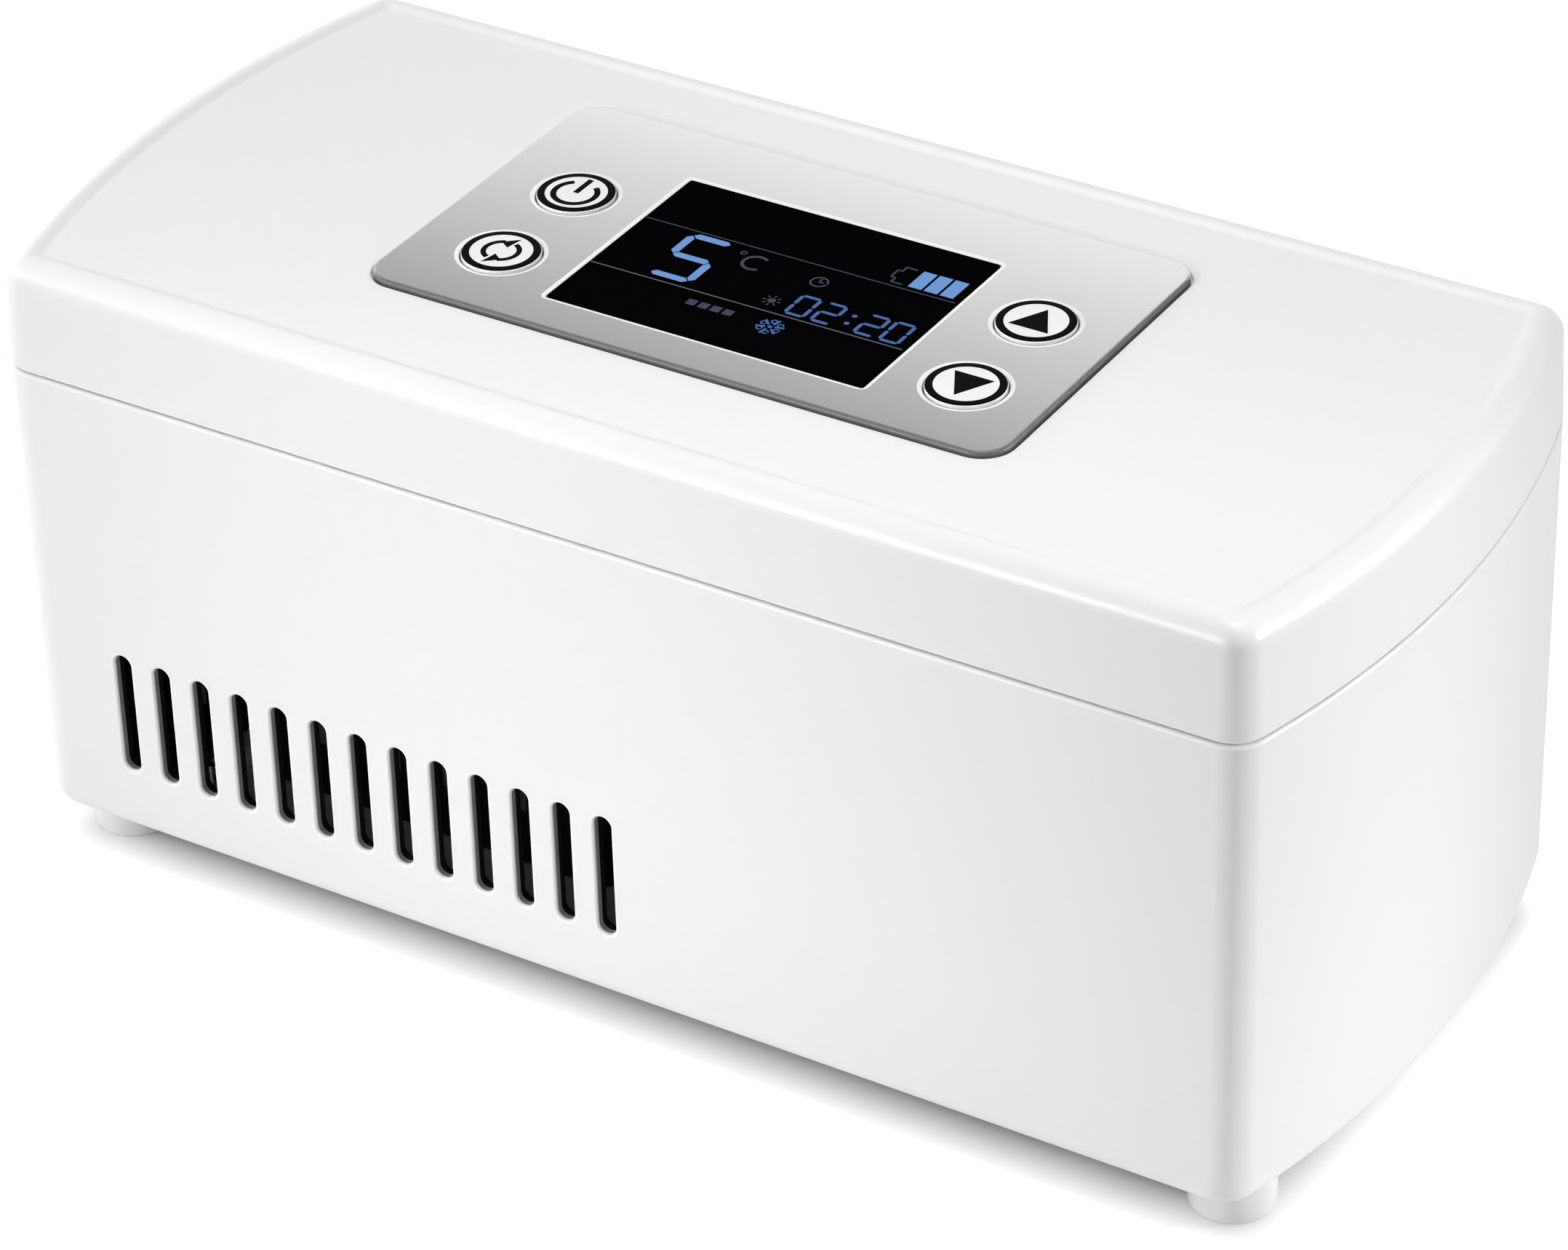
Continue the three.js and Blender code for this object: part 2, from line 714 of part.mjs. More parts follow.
const clampPlaces = [coolerX - clampReach, coolerX + clampReach];

function coldPlate() {
  return cut(
    slab(coldPlateLength, coldPlateWidth, coldPlateZ, coldPlateTopZ, coolerX),
    ...clampPlaces.map((x) => post(
      screwRadius + screwGap, coldPlateZ - overrun, coldPlateZ + clampBite + seatGap, x,
    )),
  );
}

function heatSink() {
  const pitch = (sinkLength - finThick) / (finCount - 1);
  const fins = [];
  for (let i = 0; i < finCount; i += 1) {
    const x = coolerX - sinkLength / 2 + i * pitch;
    fins.push(block(x, x + finThick, -sinkWidth / 2, sinkWidth / 2, finZ, sinkBaseZ + embed));
  }
  return cut(
    joined(slab(sinkLength, sinkWidth, sinkBaseZ, sinkTopZ, coolerX), ...fins),
    ...clampPlaces.flatMap((x) => [
      post(screwHeadRadius + clampWell, finZ - overrun, sinkBaseZ, x),
      post(screwRadius + screwGap, sinkBaseZ - overrun, sinkTopZ + overrun, x),
    ]),
  );
}

function fanFrame() {
  const top = fanZ + fanHeight;
  const hub = post(fanHubRadius, fanZ, fanZ + fanHubPlate, coolerX, 0, roundSteps);
  const struts = joined(
    slab(fanSize - fanBoreMargin, fanStrutWidth, fanZ, fanZ + fanHubPlate, coolerX),
    slab(fanStrutWidth, fanSize - fanBoreMargin, fanZ, fanZ + fanHubPlate, coolerX),
  );
  const ring = cut(
    plate(fanSize, fanSize, fanCorner, fanZ, top, coolerX),
    post(fanBoreRadius, fanZ - overrun, top + overrun, coolerX, 0, 2 * roundSteps),
  );
  return cut(
    joined(ring, hub, struts, post(fanPostRadius, fanZ, fanZ + fanHubPlate + fanPostHeight, coolerX)),
    ...fanScrewPlaces.map(([x, y]) => post(screwRadius + screwGap, fanZ - overrun, top + overrun, x, y)),
  );
}

// The fan's rotor about its own axis, with the floor of the fan's hub plate at height zero.
function fanRotor() {
  const top = fanHeight - fanHubPlate - rotorTopGap;
  const tipRadius = fanBoreRadius - rotorTipGap;
  const bore = fanPostRadius + runGap;
  const hub = cut(
    post(fanHubRadius, runGap, top, 0, 0, roundSteps),
    post(bore, -overrun, fanPostHeight + runGap),
  );
  const blades = [];
  for (let i = 0; i < bladeCount; i += 1) {
    const span = tipRadius + overrun - fanHubRadius + embed;
    const geometry = new THREE.BoxGeometry(span, bladeChord, bladeThick);
    geometry.rotateX(THREE.MathUtils.degToRad(bladePitch));
    geometry.translate(fanHubRadius - embed + span / 2, 0, (top + runGap) / 2);
    geometry.rotateZ((2 * Math.PI * i) / bladeCount);
    blades.push(solidOf(geometry));
  }
  const sweep = post(tipRadius, 0, fanHeight, 0, 0, 2 * roundSteps);
  return joined(hub, ...blades).intersect(sweep);
}

function batteryCell() {
  return joined(
    rodX(cellRadius, -cellLength / 2, cellLength / 2, 0, 0, roundSteps),
    rodX(cellNubRadius, 0, cellLength / 2 + cellNub, 0, 0),
  );
}

function cellY(i) {
  return (i - (cellCount - 1) / 2) * cellPitch;
}

function batteryHolder() {
  const halfWidth = ((cellCount - 1) / 2) * cellPitch + cellRadius + seatGap + holderSide;
  const [x0, x1] = [cellStartX - seatGap, cellStartX + cellLength + cellNub + seatGap];
  const cradle = cut(
    block(x0, x1, -halfWidth, halfWidth, holderZ, holderZ + holderHeight),
    ...Array.from({ length: cellCount }, (_, i) => rodX(
      cellRadius + seatGap, x0 - overrun, x1 + overrun, cellY(i), cellZ, roundSteps,
    )),
  );
  const end = (x) => block(x, x + holderSide, -halfWidth, halfWidth, holderZ, holderZ + holderEndHeight);
  return joined(cradle, end(x0 - holderSide), end(x1));
}

// Shares of the power board's length and width where its parts stand.
const coilShares = [0.2, -0.5];
const capShares = [[0.34, 0.36], [0.46, 0.36], [0.86, -0.5]];
const chipShares = [[0.4, -0.1], [0.62, -0.3]];

function powerBoard() {
  const length = powerBoardEndX - cellStartX;
  const at = ([u, v]) => [cellStartX + u * length, v * powerBoardHalfWidth];
  const sheet = block(
    cellStartX, powerBoardEndX, -powerBoardHalfWidth, powerBoardHalfWidth, powerBoardZ, powerBoardTopZ,
  );
  const bottom = powerBoardTopZ - embed;
  return cut(
    joined(
      sheet,
      post(coilRadius, bottom, powerBoardTopZ + coilHeight, ...at(coilShares), roundSteps),
      ...capShares.map((shares) => post(capRadius, bottom, powerBoardTopZ + capHeight, ...at(shares))),
      ...chipShares.map((shares) => slab(
        chipSize, chipSize, bottom, powerBoardTopZ + chipHeight, ...at(shares),
      )),
    ),
    ...powerPostPlaces.map(([x, y]) => post(
      stakeRadius + seatGap, powerBoardZ - overrun, powerBoardTopZ + overrun, x, y,
    )),
  );
}

function powerInlet() {
  const faceY = innerHalfWidth - seatGap;
  const noseY = rearY - inletNoseRecess;
  const shell = joined(
    block(inletX - inletWidth / 2, inletX + inletWidth / 2, faceY - inletDepth, faceY,
      inletZ - inletHeight / 2, inletZ + inletHeight / 2),
    rodY(inletNoseRadius, faceY - embed, noseY, inletX, inletZ, roundSteps),
  );
  return joined(
    cut(shell, rodY(inletBoreRadius, noseY - inletBoreDepth, noseY + overrun, inletX, inletZ, roundSteps)),
    rodY(inletPinRadius, noseY - inletBoreDepth - embed, noseY - embed, inletX, inletZ),
  );
}

function hingePin() {
  const half = knuckleStep + knuckleLength / 2;
  return rodX(hingePinRadius, -half, half, 0, 0);
}

// The control panel's outline, grown all round, between two heights.
function panelPlate(growth, z0, z1) {
  const [length, width] = [panelLength + 2 * growth, panelWidth + 2 * growth];
  return plate(length, width, panelCorner + growth, z0, z1, panelX, panelY);
}

// The display's window and the buttons' holes, between two heights.
function panelWindows(z0, z1) {
  return [
    slab(displayLength, displayWidth, z0, z1, displayX, displayY),
    ...Object.values(buttonPlaces).map(([x, y]) => post(buttonRadius + seatGap, z0, z1, x, y, roundSteps)),
  ];
}

function lidCover() {
  const rollZ = crestZ - lidRoll;
  const levels = [[lidBottomZ, lipChamfer], [lidBottomZ + lipChamfer, 0], [rollZ, lidLean]];
  for (let i = 1; i <= edgeSteps; i += 1) {
    const angle = (Math.PI / 2) * (i / edgeSteps);
    levels.push([rollZ + lidRoll * Math.sin(angle), lidLean + lidRoll * (1 - Math.cos(angle))]);
  }
  levels.push([lidFaceZ, lidLean + lidRoll + rimSlope]);
  const outer = caseLoft(levels);
  const hollow = caseLoft([
    [lidBottomZ - overrun, lidWall],
    [lidBottomZ, lidWall],
    [rollZ, lidWall + lidLean],
    [skinZ, lidWall + lidLean + cavityShoulder],
  ]);
  const rail = rearStrip(railY, lidBottomZ, lidBottomZ + railHeight).intersect(outer);
  const bosses = lidScrewPlaces.map(([x, y]) => post(
    lidBossRadius, lidLinerTopZ + seatGap, skinZ + embed, x, y,
  ));
  const boardPosts = controlPostPlaces.flatMap(([x, y]) => [
    post(postRadius, controlBoardTopZ + seatGap, skinZ + embed, x, y),
    post(stakeRadius, controlBoardZ - stakeRise, skinZ, x, y),
  ]);
  const walls = cut(
    joined(cut(outer, hollow), rail),
    hingeGroove(1, lidBottomZ),
    panelPlate(seatGap, pocketZ, crestZ + overrun),
    ...panelWindows(skinZ - overrun, crestZ),
  );
  return cut(
    joined(walls, ...bosses, ...boardPosts, ...knuckles(hingeSets, knuckleRadius, 0),
      ...knuckleWebs(hingeSets, seamZ, lidBottomZ + railHeight)),
    ...knuckles(caseKnuckleX, knuckleRadius + runGap, runGap),
    ...hingePinBores(),
    ...lidScrewPlaces.map(([x, y]) => post(
      screwRadius + screwGap, lidLinerZ, lidLinerZ + lidScrewLength + seatGap, x, y,
    )),
  );
}

function controlPanel() {
  return cut(panelPlate(0, panelZ, panelTopZ), ...panelWindows(panelZ - overrun, panelTopZ + overrun));
}

function displayWindow() {
  const [length, width] = [displayLength - 2 * displayGap, displayWidth - 2 * displayGap];
  return slab(length, width, lcdTopZ + seatGap, panelTopZ + displayRise, displayX, displayY);
}

function lcdModule() {
  return slab(displayLength + 2 * lcdMargin, displayWidth + 2 * lcdMargin, lcdZ, lcdTopZ, displayX, displayY);
}

function controlBoard() {
  return cut(
    slab(controlBoardLength, controlBoardWidth, controlBoardZ, controlBoardTopZ, panelX, panelY),
    ...controlPostPlaces.map(([x, y]) => post(
      stakeRadius + seatGap, controlBoardZ - overrun, controlBoardTopZ + overrun, x, y,
    )),
  );
}

// A tact switch about its own axis, at its height in the lid, with a well that takes the button's stem.
function tactSwitch() {
  const well = buttonTravel + 2 * seatGap;
  return cut(
    slab(switchSize, switchSize, switchZ, switchTopZ),
    post(buttonStemRadius + seatGap, switchTopZ - well, switchTopZ + overrun),
  );
}

// A button about its own axis, at its height in the lid.
function button() {
  const top = panelTopZ + buttonRise;
  const stemZ = switchTopZ - seatGap;
  return turned([
    [0, stemZ],
    [buttonStemRadius, stemZ],
    [buttonStemRadius, buttonFlangeZ],
    [buttonRadius + buttonFlange, buttonFlangeZ],
    [buttonRadius + buttonFlange, buttonFlangeTopZ],
    [buttonRadius, buttonFlangeTopZ],
    [buttonRadius, top - buttonBevel],
    [buttonRadius - buttonBevel, top],
    [0, top],
  ], roundSteps);
}

function lidLiner() {
  const inset = (z) => lidWall + leanAt(z) + seatGap;
  const sheet = caseLoft([[lidLinerZ, inset(lidLinerTopZ)], [lidLinerTopZ, inset(lidLinerTopZ)]]);
  return cut(
    joined(
      cut(sheet, rearStrip(railY - seatGap, lidLinerZ - overrun, lidLinerTopZ + overrun)),
      chamberPlate(-plugClearance, plugZ, lidLinerTopZ),
    ),
    chamberPlate(-plugClearance - plugWall, plugZ + plugWall, lidLinerTopZ + overrun),
    ...lidScrewPlaces.map(([x, y]) => post(
      screwRadius + screwGap, lidLinerZ - overrun, lidLinerTopZ + overrun, x, y,
    )),
    ...[-magnetX, magnetX].map((x) => post(
      magnetRadius + seatGap, lidLinerZ - overrun, lidLinerZ + magnetThick + seatGap, x, magnetY, roundSteps,
    )),
  );
}

function lidFoam() {
  const skirt = plugWall + seatGap;
  return chamberPlate(-plugClearance - skirt, plugZ + skirt, lidLinerTopZ + lidFoamRise);
}

function lidGasket() {
  const [z0, z1] = [deckTopZ + seatGap, lidLinerZ - seatGap];
  return cut(
    chamberPlate(gasketOffset + gasketWidth, z0, z1),
    chamberPlate(gasketOffset, z0 - overrun, z1 + overrun),
  );
}

// Materials
function material(color, roughness, metalness = 0) {
  return new THREE.MeshStandardMaterial({ color, roughness, metalness });
}
const glossWhite = material(0xf2f3f3, 0.2);
const linerWhite = material(0xe9ebea, 0.4);
const paleFoot = material(0xd9dadb, 0.15, 0.2);
const foam = material(0xeceae2, 0.95);
const aluminium = material(0xb9bcc0, 0.35, 1);
const satinSilver = material(0xb5b7b9, 0.3, 0.7);
const steel = material(0xa8abae, 0.3, 1);
const ceramic = material(0xf1efe8, 0.6);
const blackPlastic = material(0x1b1c1e, 0.45);
const blackGlass = material(0x050608, 0.06);
const boardGreen = material(0x1d5a39, 0.5);
const cellBlue = material(0x2d5f9e, 0.4);
const rubber = material(0x6d7073, 0.85);
const buttonWhite = material(0xf4f4f4, 0.3);
const lcdGrey = material(0x3a3f45, 0.3);

const coolingCase = new THREE.Group();
const lid = new THREE.Group();
lid.position.set(0, hingeY, seamZ);
coolingCase.add(lid);

// Adds a piece to the case at a place, or hangs it in the lid's group where it stands.
function addPiece(name, solid, finish, place = [0, 0, 0], group = coolingCase) {
  const mesh = new THREE.Mesh(geometryOf(solid), finish);
  mesh.name = name;
  mesh.position.set(...place).sub(group.position);
  group.add(mesh);
}

function addLidPiece(name, solid, finish, place) {
  addPiece(name, solid, finish, place, lid);
}

addPiece('case_shell', caseShell(), glossWhite);
addPiece('base_plate', basePlate(), glossWhite);
cornerNames.forEach((corner, i) => {
  const fanScrew = screw(caseFloor + fanScrewBite);
  addPiece(`foot_${corner}`, foot(), paleFoot, [...footPlaces[i], 0]);
  addPiece(`base_screw_${corner}`, screw(baseScrewLength), steel, [...baseScrewPlaces[i], baseZ - seatGap]);
  addPiece(`fan_screw_${corner}`, fanScrew, steel, [...fanScrewPlaces[i], baseZ - seatGap]);
});
addPiece('deck_bezel', deckBezel(), linerWhite);
addPiece('chamber_liner', chamberLiner(), aluminium);
addPiece('chamber_insulation', chamberInsulation(), foam);
addPiece('cold_plate', coldPlate(), aluminium);
addPiece('peltier_module', slab(peltierSize, peltierSize, 0, peltierThick), ceramic, [coolerX, 0, peltierZ]);
addPiece('heat_sink', heatSink(), aluminium);
clampPlaces.forEach((x, i) => {
  const length = seatGap + sinkBase + peltierThick + 2 * seatGap + clampBite;
  addPiece(`clamp_screw_${i + 1}`, screw(length), steel, [x, 0, sinkBaseZ - seatGap]);
});
addPiece('fan_frame', fanFrame(), blackPlastic);
addPiece('fan_rotor', fanRotor(), blackPlastic, [coolerX, 0, fanZ + fanHubPlate]);
addPiece('battery_holder', batteryHolder(), blackPlastic);
for (let i = 0; i < cellCount; i += 1) {
  addPiece(`battery_cell_${i + 1}`, batteryCell(), cellBlue, [cellMiddleX, cellY(i), cellZ]);
}
addPiece('power_board', powerBoard(), boardGreen);
addPiece('power_inlet', powerInlet(), blackPlastic);
addPiece('temperature_sensor', rodX(sensorRadius, -sensorLength / 2, sensorLength / 2, 0, 0), steel,
  [sensorX, 0, linerZ - seatGap - sensorRadius]);
hingeSets.forEach((x, i) => {
  const side = ['left', 'right'][i];
  const magnetPlaceX = [-magnetX, magnetX][i];
  addPiece(`hinge_pin_${side}`, hingePin(), steel, [x, hingeY, seamZ]);
  addPiece(`case_magnet_${side}`, post(magnetRadius, 0, magnetThick, 0, 0, roundSteps), steel,
    [magnetPlaceX, magnetY, deckTopZ - magnetThick]);
  addLidPiece(`lid_magnet_${side}`, post(magnetRadius, 0, magnetThick, 0, 0, roundSteps), steel,
    [magnetPlaceX, magnetY, lidLinerZ]);
});

addLidPiece('lid_cover', lidCover(), glossWhite);
addLidPiece('control_panel', controlPanel(), satinSilver);
addLidPiece('display_window', displayWindow(), blackGlass);
addLidPiece('lcd_module', lcdModule(), lcdGrey);
addLidPiece('control_board', controlBoard(), boardGreen);
Object.entries(buttonPlaces).forEach(([use, place]) => {
  addLidPiece(`tact_switch_${use}`, tactSwitch(), blackPlastic, [...place, 0]);
  addLidPiece(`button_${use}`, button(), buttonWhite, [...place, 0]);
});
addLidPiece('lid_liner', lidLiner(), linerWhite);
addLidPiece('lid_foam', lidFoam(), foam);
addLidPiece('lid_gasket', lidGasket(), rubber);
cornerNames.forEach((corner, i) => {
  const place = [...lidScrewPlaces[i], lidLinerZ - seatGap];
  addLidPiece(`lid_screw_${corner}`, screw(lidScrewLength), steel, place);
});

export default coolingCase;
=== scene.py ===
import json
from math import atan2, cos, hypot, pi, radians, sin, sqrt, tan

import bmesh
import bpy
from mathutils import Matrix, Vector


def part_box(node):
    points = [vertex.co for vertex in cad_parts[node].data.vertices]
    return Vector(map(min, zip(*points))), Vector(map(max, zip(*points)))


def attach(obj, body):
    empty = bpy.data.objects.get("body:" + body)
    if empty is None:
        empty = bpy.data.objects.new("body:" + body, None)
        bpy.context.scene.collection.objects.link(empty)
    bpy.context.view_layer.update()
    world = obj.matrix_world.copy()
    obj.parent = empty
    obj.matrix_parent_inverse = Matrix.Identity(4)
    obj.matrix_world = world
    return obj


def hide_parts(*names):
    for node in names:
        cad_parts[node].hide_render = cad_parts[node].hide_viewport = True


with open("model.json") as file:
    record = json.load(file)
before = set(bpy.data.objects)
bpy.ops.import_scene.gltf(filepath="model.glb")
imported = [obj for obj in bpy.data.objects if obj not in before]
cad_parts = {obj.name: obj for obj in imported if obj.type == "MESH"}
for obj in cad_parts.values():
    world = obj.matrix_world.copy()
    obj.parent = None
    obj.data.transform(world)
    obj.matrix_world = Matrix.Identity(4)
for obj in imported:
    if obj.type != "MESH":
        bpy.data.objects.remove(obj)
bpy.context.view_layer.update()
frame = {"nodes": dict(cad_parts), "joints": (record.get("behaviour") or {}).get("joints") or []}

MM = 0.001
scene = bpy.context.scene
nodes = frame["nodes"]


def box(node):
    """The low corner, the high corner and the middle of a CAD node's box."""
    low, high = (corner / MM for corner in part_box(node))
    return low, high, (low + high) / 2


def middle(node):
    return box(node)[2]


# Case and lid, with the heights that the frame gives
case_low, case_high, _ = box("case_shell")
lid_hinge = next(joint for joint in frame["joints"] if joint["name"] == "lid_hinge")["pos_m"]
LENGTH, WIDTH, BULGE, CORNER = case_high.x - case_low.x, case_high.y - case_low.y, 7.1, 5.0
BASE, SEAM, CREST = case_low.z, lid_hinge[2] / MM, box("lid_cover")[1].z
SEAM_GAP, EDGE, WALL, FLOOR, LIP, HOLLOW_EDGE = 0.4, 2.5, 2.4, 3.0, 0.45, 1.0
FLOOR_TOP, BODY_TOP, LID_BOTTOM = BASE + FLOOR, SEAM - SEAM_GAP / 2, SEAM + SEAM_GAP / 2
LID_WALL, LID_SKIN, LEAN, ROLL, RIM_DROP, RIM_RUN, SHOULDER = 2.2, 2.2, 0.5, 3.4, 0.4, 1.8, 2.2
LID_FACE, SKIN = CREST - RIM_DROP, CREST - RIM_DROP - LID_SKIN
RAIL_TOP, RAIL_FOOT, RAIL_OVERLAP = LID_BOTTOM + 5, SEAM - 5.5, 0.1
REAR = WIDTH / 2

# Clearances, and how far a cutter runs past the face that it leaves
FIT, RUN_GAP, OVERRUN = 0.3, 0.4, 1.0

# Vents
VENT_COUNT, VENT_PITCH, VENT_WIDTH, VENT_HEIGHT, VENT_FLARE = 13, 6.66, 2.8, 19.3, 0.5
VENT_START, VENT_MIDDLE, VENT_SHADE = 22.4 - LENGTH / 2, BASE + 10.55 + VENT_HEIGHT / 2, 0.8

# Hinge
HINGE_Y, KNUCKLE, KNUCKLE_STEP, KNUCKLE_LENGTH, PIN_BORE = lid_hinge[1] / MM, 2.0, 8.4, 8.0, 1.05
RAIL_Y, WEB_Y, WEB_DROP, GROOVE_SLOPE = HINGE_Y - 2.2, HINGE_Y + 0.8, 3.5, 55
PIN_THICK, PIN_EDGE, HINGE_SETS = 1.6, 0.2, (-60.0, 60.0)
CASE_KNUCKLES = [x + side * KNUCKLE_STEP for x in HINGE_SETS for side in (-1, 1)]

# Panel, display and buttons
panel_low, panel_high, panel_middle = box("control_panel")
window_low, window_high, window_middle = box("display_window")
PANEL_CORNER, PANEL_Z, PANEL_TOP = 4.5, panel_low.z, panel_high.z
PANEL_BEVEL, PANEL_EDGE, OPENING_RIM, OPENING_SLOPE = 0.1, 0.6, 0.6, 0.15
WINDOW_SIZE, WINDOW_GAP = window_high - window_low, 0.4
BUTTON_RADIUS, BUTTON_FLANGE, BUTTON_FLANGE_THICK = 5.5, 1.1, 0.7
BUTTON_HOLE = BUTTON_RADIUS + FIT
USES = ("power", "mode", "up", "down")
CORNERS = ("front_left", "front_right", "rear_left", "rear_right")
SIDES = ("left", "right")

# Chamber, between margins at its ends and sides
CHAMBER_END, CHAMBER_SIDE, CHAMBER_CORNER = 20.5, 18.8, 8.0
CHAMBER_LENGTH, CHAMBER_WIDTH = LENGTH - 2 * CHAMBER_END, WIDTH - 2 * CHAMBER_SIDE

# Base plate, power inlet, magnets and the holes for screws
PLATE_CORNER, PLATE_EDGE, PLATE_STEP, PLATE_LEDGE = 5.7, 0.5, 1.5, 3.0
JACK_RADIUS, INLET_FLARE, INLET_REACH = 3.3, 0.4, 4.0
MAGNET_RADIUS, MAGNET_EDGE, MAGNET_BEVEL, MAGNET_DEPTH = 4.0, 0.2, 0.15, 1.4
SCREW_HOLE, SCREW_WELL = 1.6, 4.5

# Steps in round forms
END_STEPS, CORNER_STEPS, FLAT_STEPS, ROUND_STEPS = 14, 8, 10, 64


# Camera at the photograph's viewing angle
def place_camera():
    azimuth, elevation, roll = radians(32.27), radians(33.146), radians(-1.678)
    distance, target, shift_x, shift_y = 808.8, Vector((0, 0, 45)), -0.202, 3.045
    back = Vector((sin(azimuth) * cos(elevation), -cos(azimuth) * cos(elevation), sin(elevation)))
    right = Vector((cos(azimuth), sin(azimuth), 0))
    up = back.cross(right)
    across = cos(roll) * right + sin(roll) * up
    upward = cos(roll) * up - sin(roll) * right
    data = bpy.data.cameras.new("camera")
    data.sensor_width, data.sensor_fit, data.lens = 36, "HORIZONTAL", 133.89
    data.clip_start, data.clip_end = 0.01, 20
    camera = bpy.data.objects.new("camera", data)
    scene.collection.objects.link(camera)
    place = target + back * distance - across * shift_x - upward * shift_y
    turn = Matrix((across, upward, back)).transposed().to_4x4()
    camera.matrix_world = Matrix.Translation(place * MM) @ turn
    scene.camera = camera


# Materials
def link(tree, output, node, socket):
    tree.links.new(output, node.inputs[socket])


def added(tree, kind, **inputs):
    """A new shader node with values for its inputs, whose names take a _ for each space."""
    node = tree.nodes.new(f"ShaderNode{kind}")
    for socket, value in inputs.items():
        node.inputs[socket.replace("_", " ")].default_value = value
    return node


def noise(tree, vector, scale, detail):
    texture = added(tree, "TexNoise", Scale=scale, Detail=detail)
    link(tree, vector, texture, "Vector")
    return texture.outputs["Fac"]


def color_mix(tree, factor, first, second):
    """Mixes two colours, each an output or a plain colour."""
    mix = added(tree, "Mix")
    mix.data_type = "RGBA"
    link(tree, factor, mix, "Factor")
    for socket, value in (("A", first), ("B", second)):
        if isinstance(value, bpy.types.NodeSocket):
            link(tree, value, mix, socket)
        else:
            mix.inputs[socket].default_value = (*value, 1)
    return mix.outputs["Result"]


def ramp(tree, value, low, high, start=0.0, end=1.0):
    reach = added(tree, "MapRange", From_Min=low, From_Max=high, To_Min=start, To_Max=end)
    link(tree, value, reach, "Value")
    return reach.outputs["Result"]


def vector_math(tree, operation, vector, other=None):
    node = added(tree, "VectorMath")
    node.operation = operation
    link(tree, vector, node, 0)
    if other:
        node.inputs[1].default_value = other
    return node.outputs


# Coarse and fine noise, the part of its range that is used, and the least roughness
BROAD_SCALE, BROAD_DETAIL, FINE_DETAIL = 22.0, 2.0, 3.0
NOISE_LOW, NOISE_HIGH, LEAST_ROUGHNESS = 0.3, 0.7, 0.02


def surface(name, color, roughness, grain, depth, metallic=0.0, tint=0.03, spread=0.03, stretch=(1, 1, 1),
            **sockets):
    """A finish with soft changes of colour and gloss, and a fine grain of the given depth in millimetres."""
    made = bpy.data.materials.new(name)
    made.use_nodes = True
    tree = made.node_tree
    shader = tree.nodes["Principled BSDF"]
    shader.inputs["Metallic"].default_value = metallic
    for socket, value in sockets.items():
        shader.inputs[socket.replace("_", " ")].default_value = value
    place = added(tree, "TexCoord").outputs["Object"]
    mapping = added(tree, "Mapping", Scale=stretch)
    link(tree, place, mapping, "Vector")
    broad = noise(tree, place, BROAD_SCALE, BROAD_DETAIL)
    fine = noise(tree, mapping.outputs["Vector"], grain, FINE_DETAIL)
    dark = [c * (1 - tint) for c in color]
    light = [min(c * (1 + tint), 1) for c in color]
    link(tree, color_mix(tree, broad, dark, light), shader, "Base Color")
    gloss = ramp(tree, fine if metallic else broad, NOISE_LOW, NOISE_HIGH,
                 max(roughness - spread, LEAST_ROUGHNESS), roughness + spread)
    link(tree, gloss, shader, "Roughness")
    bump = added(tree, "Bump", Strength=1.0, Distance=depth * MM)
    link(tree, fine, bump, "Height")
    link(tree, bump.outputs["Normal"], shader, "Normal")
    return made


def shaded(made, vector, direction, low, high, color):
    """Paints shade into a finish: blends its colour towards another, as its place or its normal runs along a
    direction.
    """
    tree = made.node_tree
    shader = tree.nodes["Principled BSDF"]
    before = shader.inputs["Base Color"].links[0].from_socket
    share = vector_math(tree, "DOT_PRODUCT", added(tree, "TexCoord").outputs[vector], direction)["Value"]
    link(tree, color_mix(tree, ramp(tree, share, low, high), before, color), shader, "Base Color")


def glowing(name, color):
    """A black finish that gives off a colour of its own."""
    made = surface(name, (0.006, 0.006, 0.008), 0.3, 500, 0.001, Specular_IOR_Level=0.03)
    shader = made.node_tree.nodes["Principled BSDF"]
    shader.inputs["Emission Color"].default_value = (*color, 1)
    shader.inputs["Emission Strength"].default_value = 1.0
    return made


white_shell = surface("white_shell", (0.88, 0.885, 0.888), 0.34, 260, 0.003, tint=0.004, Coat_Weight=0.1,
                      Coat_Roughness=0.25)
# The lips of the seam and the lid, and the rims of the vents and the panel's openings, take a whiter copy of
# the shell's white: a painted highlight.
highlight_white = surface("highlight_white", (0.96, 0.965, 0.965), 0.3, 400, 0.001, tint=0.002)
white_liner = surface("white_liner", (0.82, 0.825, 0.825), 0.42, 900, 0.008, tint=0.012)
# Black for the case's inside and the deep walls of the vents, where there is only shade: painted shade.
shade_black = surface("shade_black", (0.01, 0.01, 0.011), 0.6, 1500, 0.01, Specular_IOR_Level=0.1)
# Grey for the outer part of each vent's wall, between its rim and its black depth: painted shade.
half_shade_grey = surface("half_shade_grey", (0.32, 0.32, 0.325), 0.6, 1500, 0.01, Specular_IOR_Level=0.1)
pale_foot = surface("pale_foot", (0.83, 0.835, 0.84), 0.12, 400, 0.001, tint=0.01, Coat_Weight=0.6,
                    Coat_Roughness=0.04)
drawn_aluminium = surface("drawn_aluminium", (0.78, 0.79, 0.8), 0.3, 1400, 0.004, 1.0, spread=0.07,
                          stretch=(0.04, 1, 1))
milled_aluminium = surface("milled_aluminium", (0.7, 0.71, 0.73), 0.36, 1200, 0.006, 1.0, spread=0.08,
                           stretch=(1, 0.05, 1))
black_anodised = surface("black_anodised", (0.016, 0.016, 0.018), 0.45, 1200, 0.006, 0.2,
                         stretch=(1, 0.05, 1))
insulation_foam = surface("insulation_foam", (0.8, 0.79, 0.74), 0.95, 1300, 0.12, tint=0.05)
ceramic = surface("ceramic", (0.82, 0.81, 0.77), 0.6, 1500, 0.01)
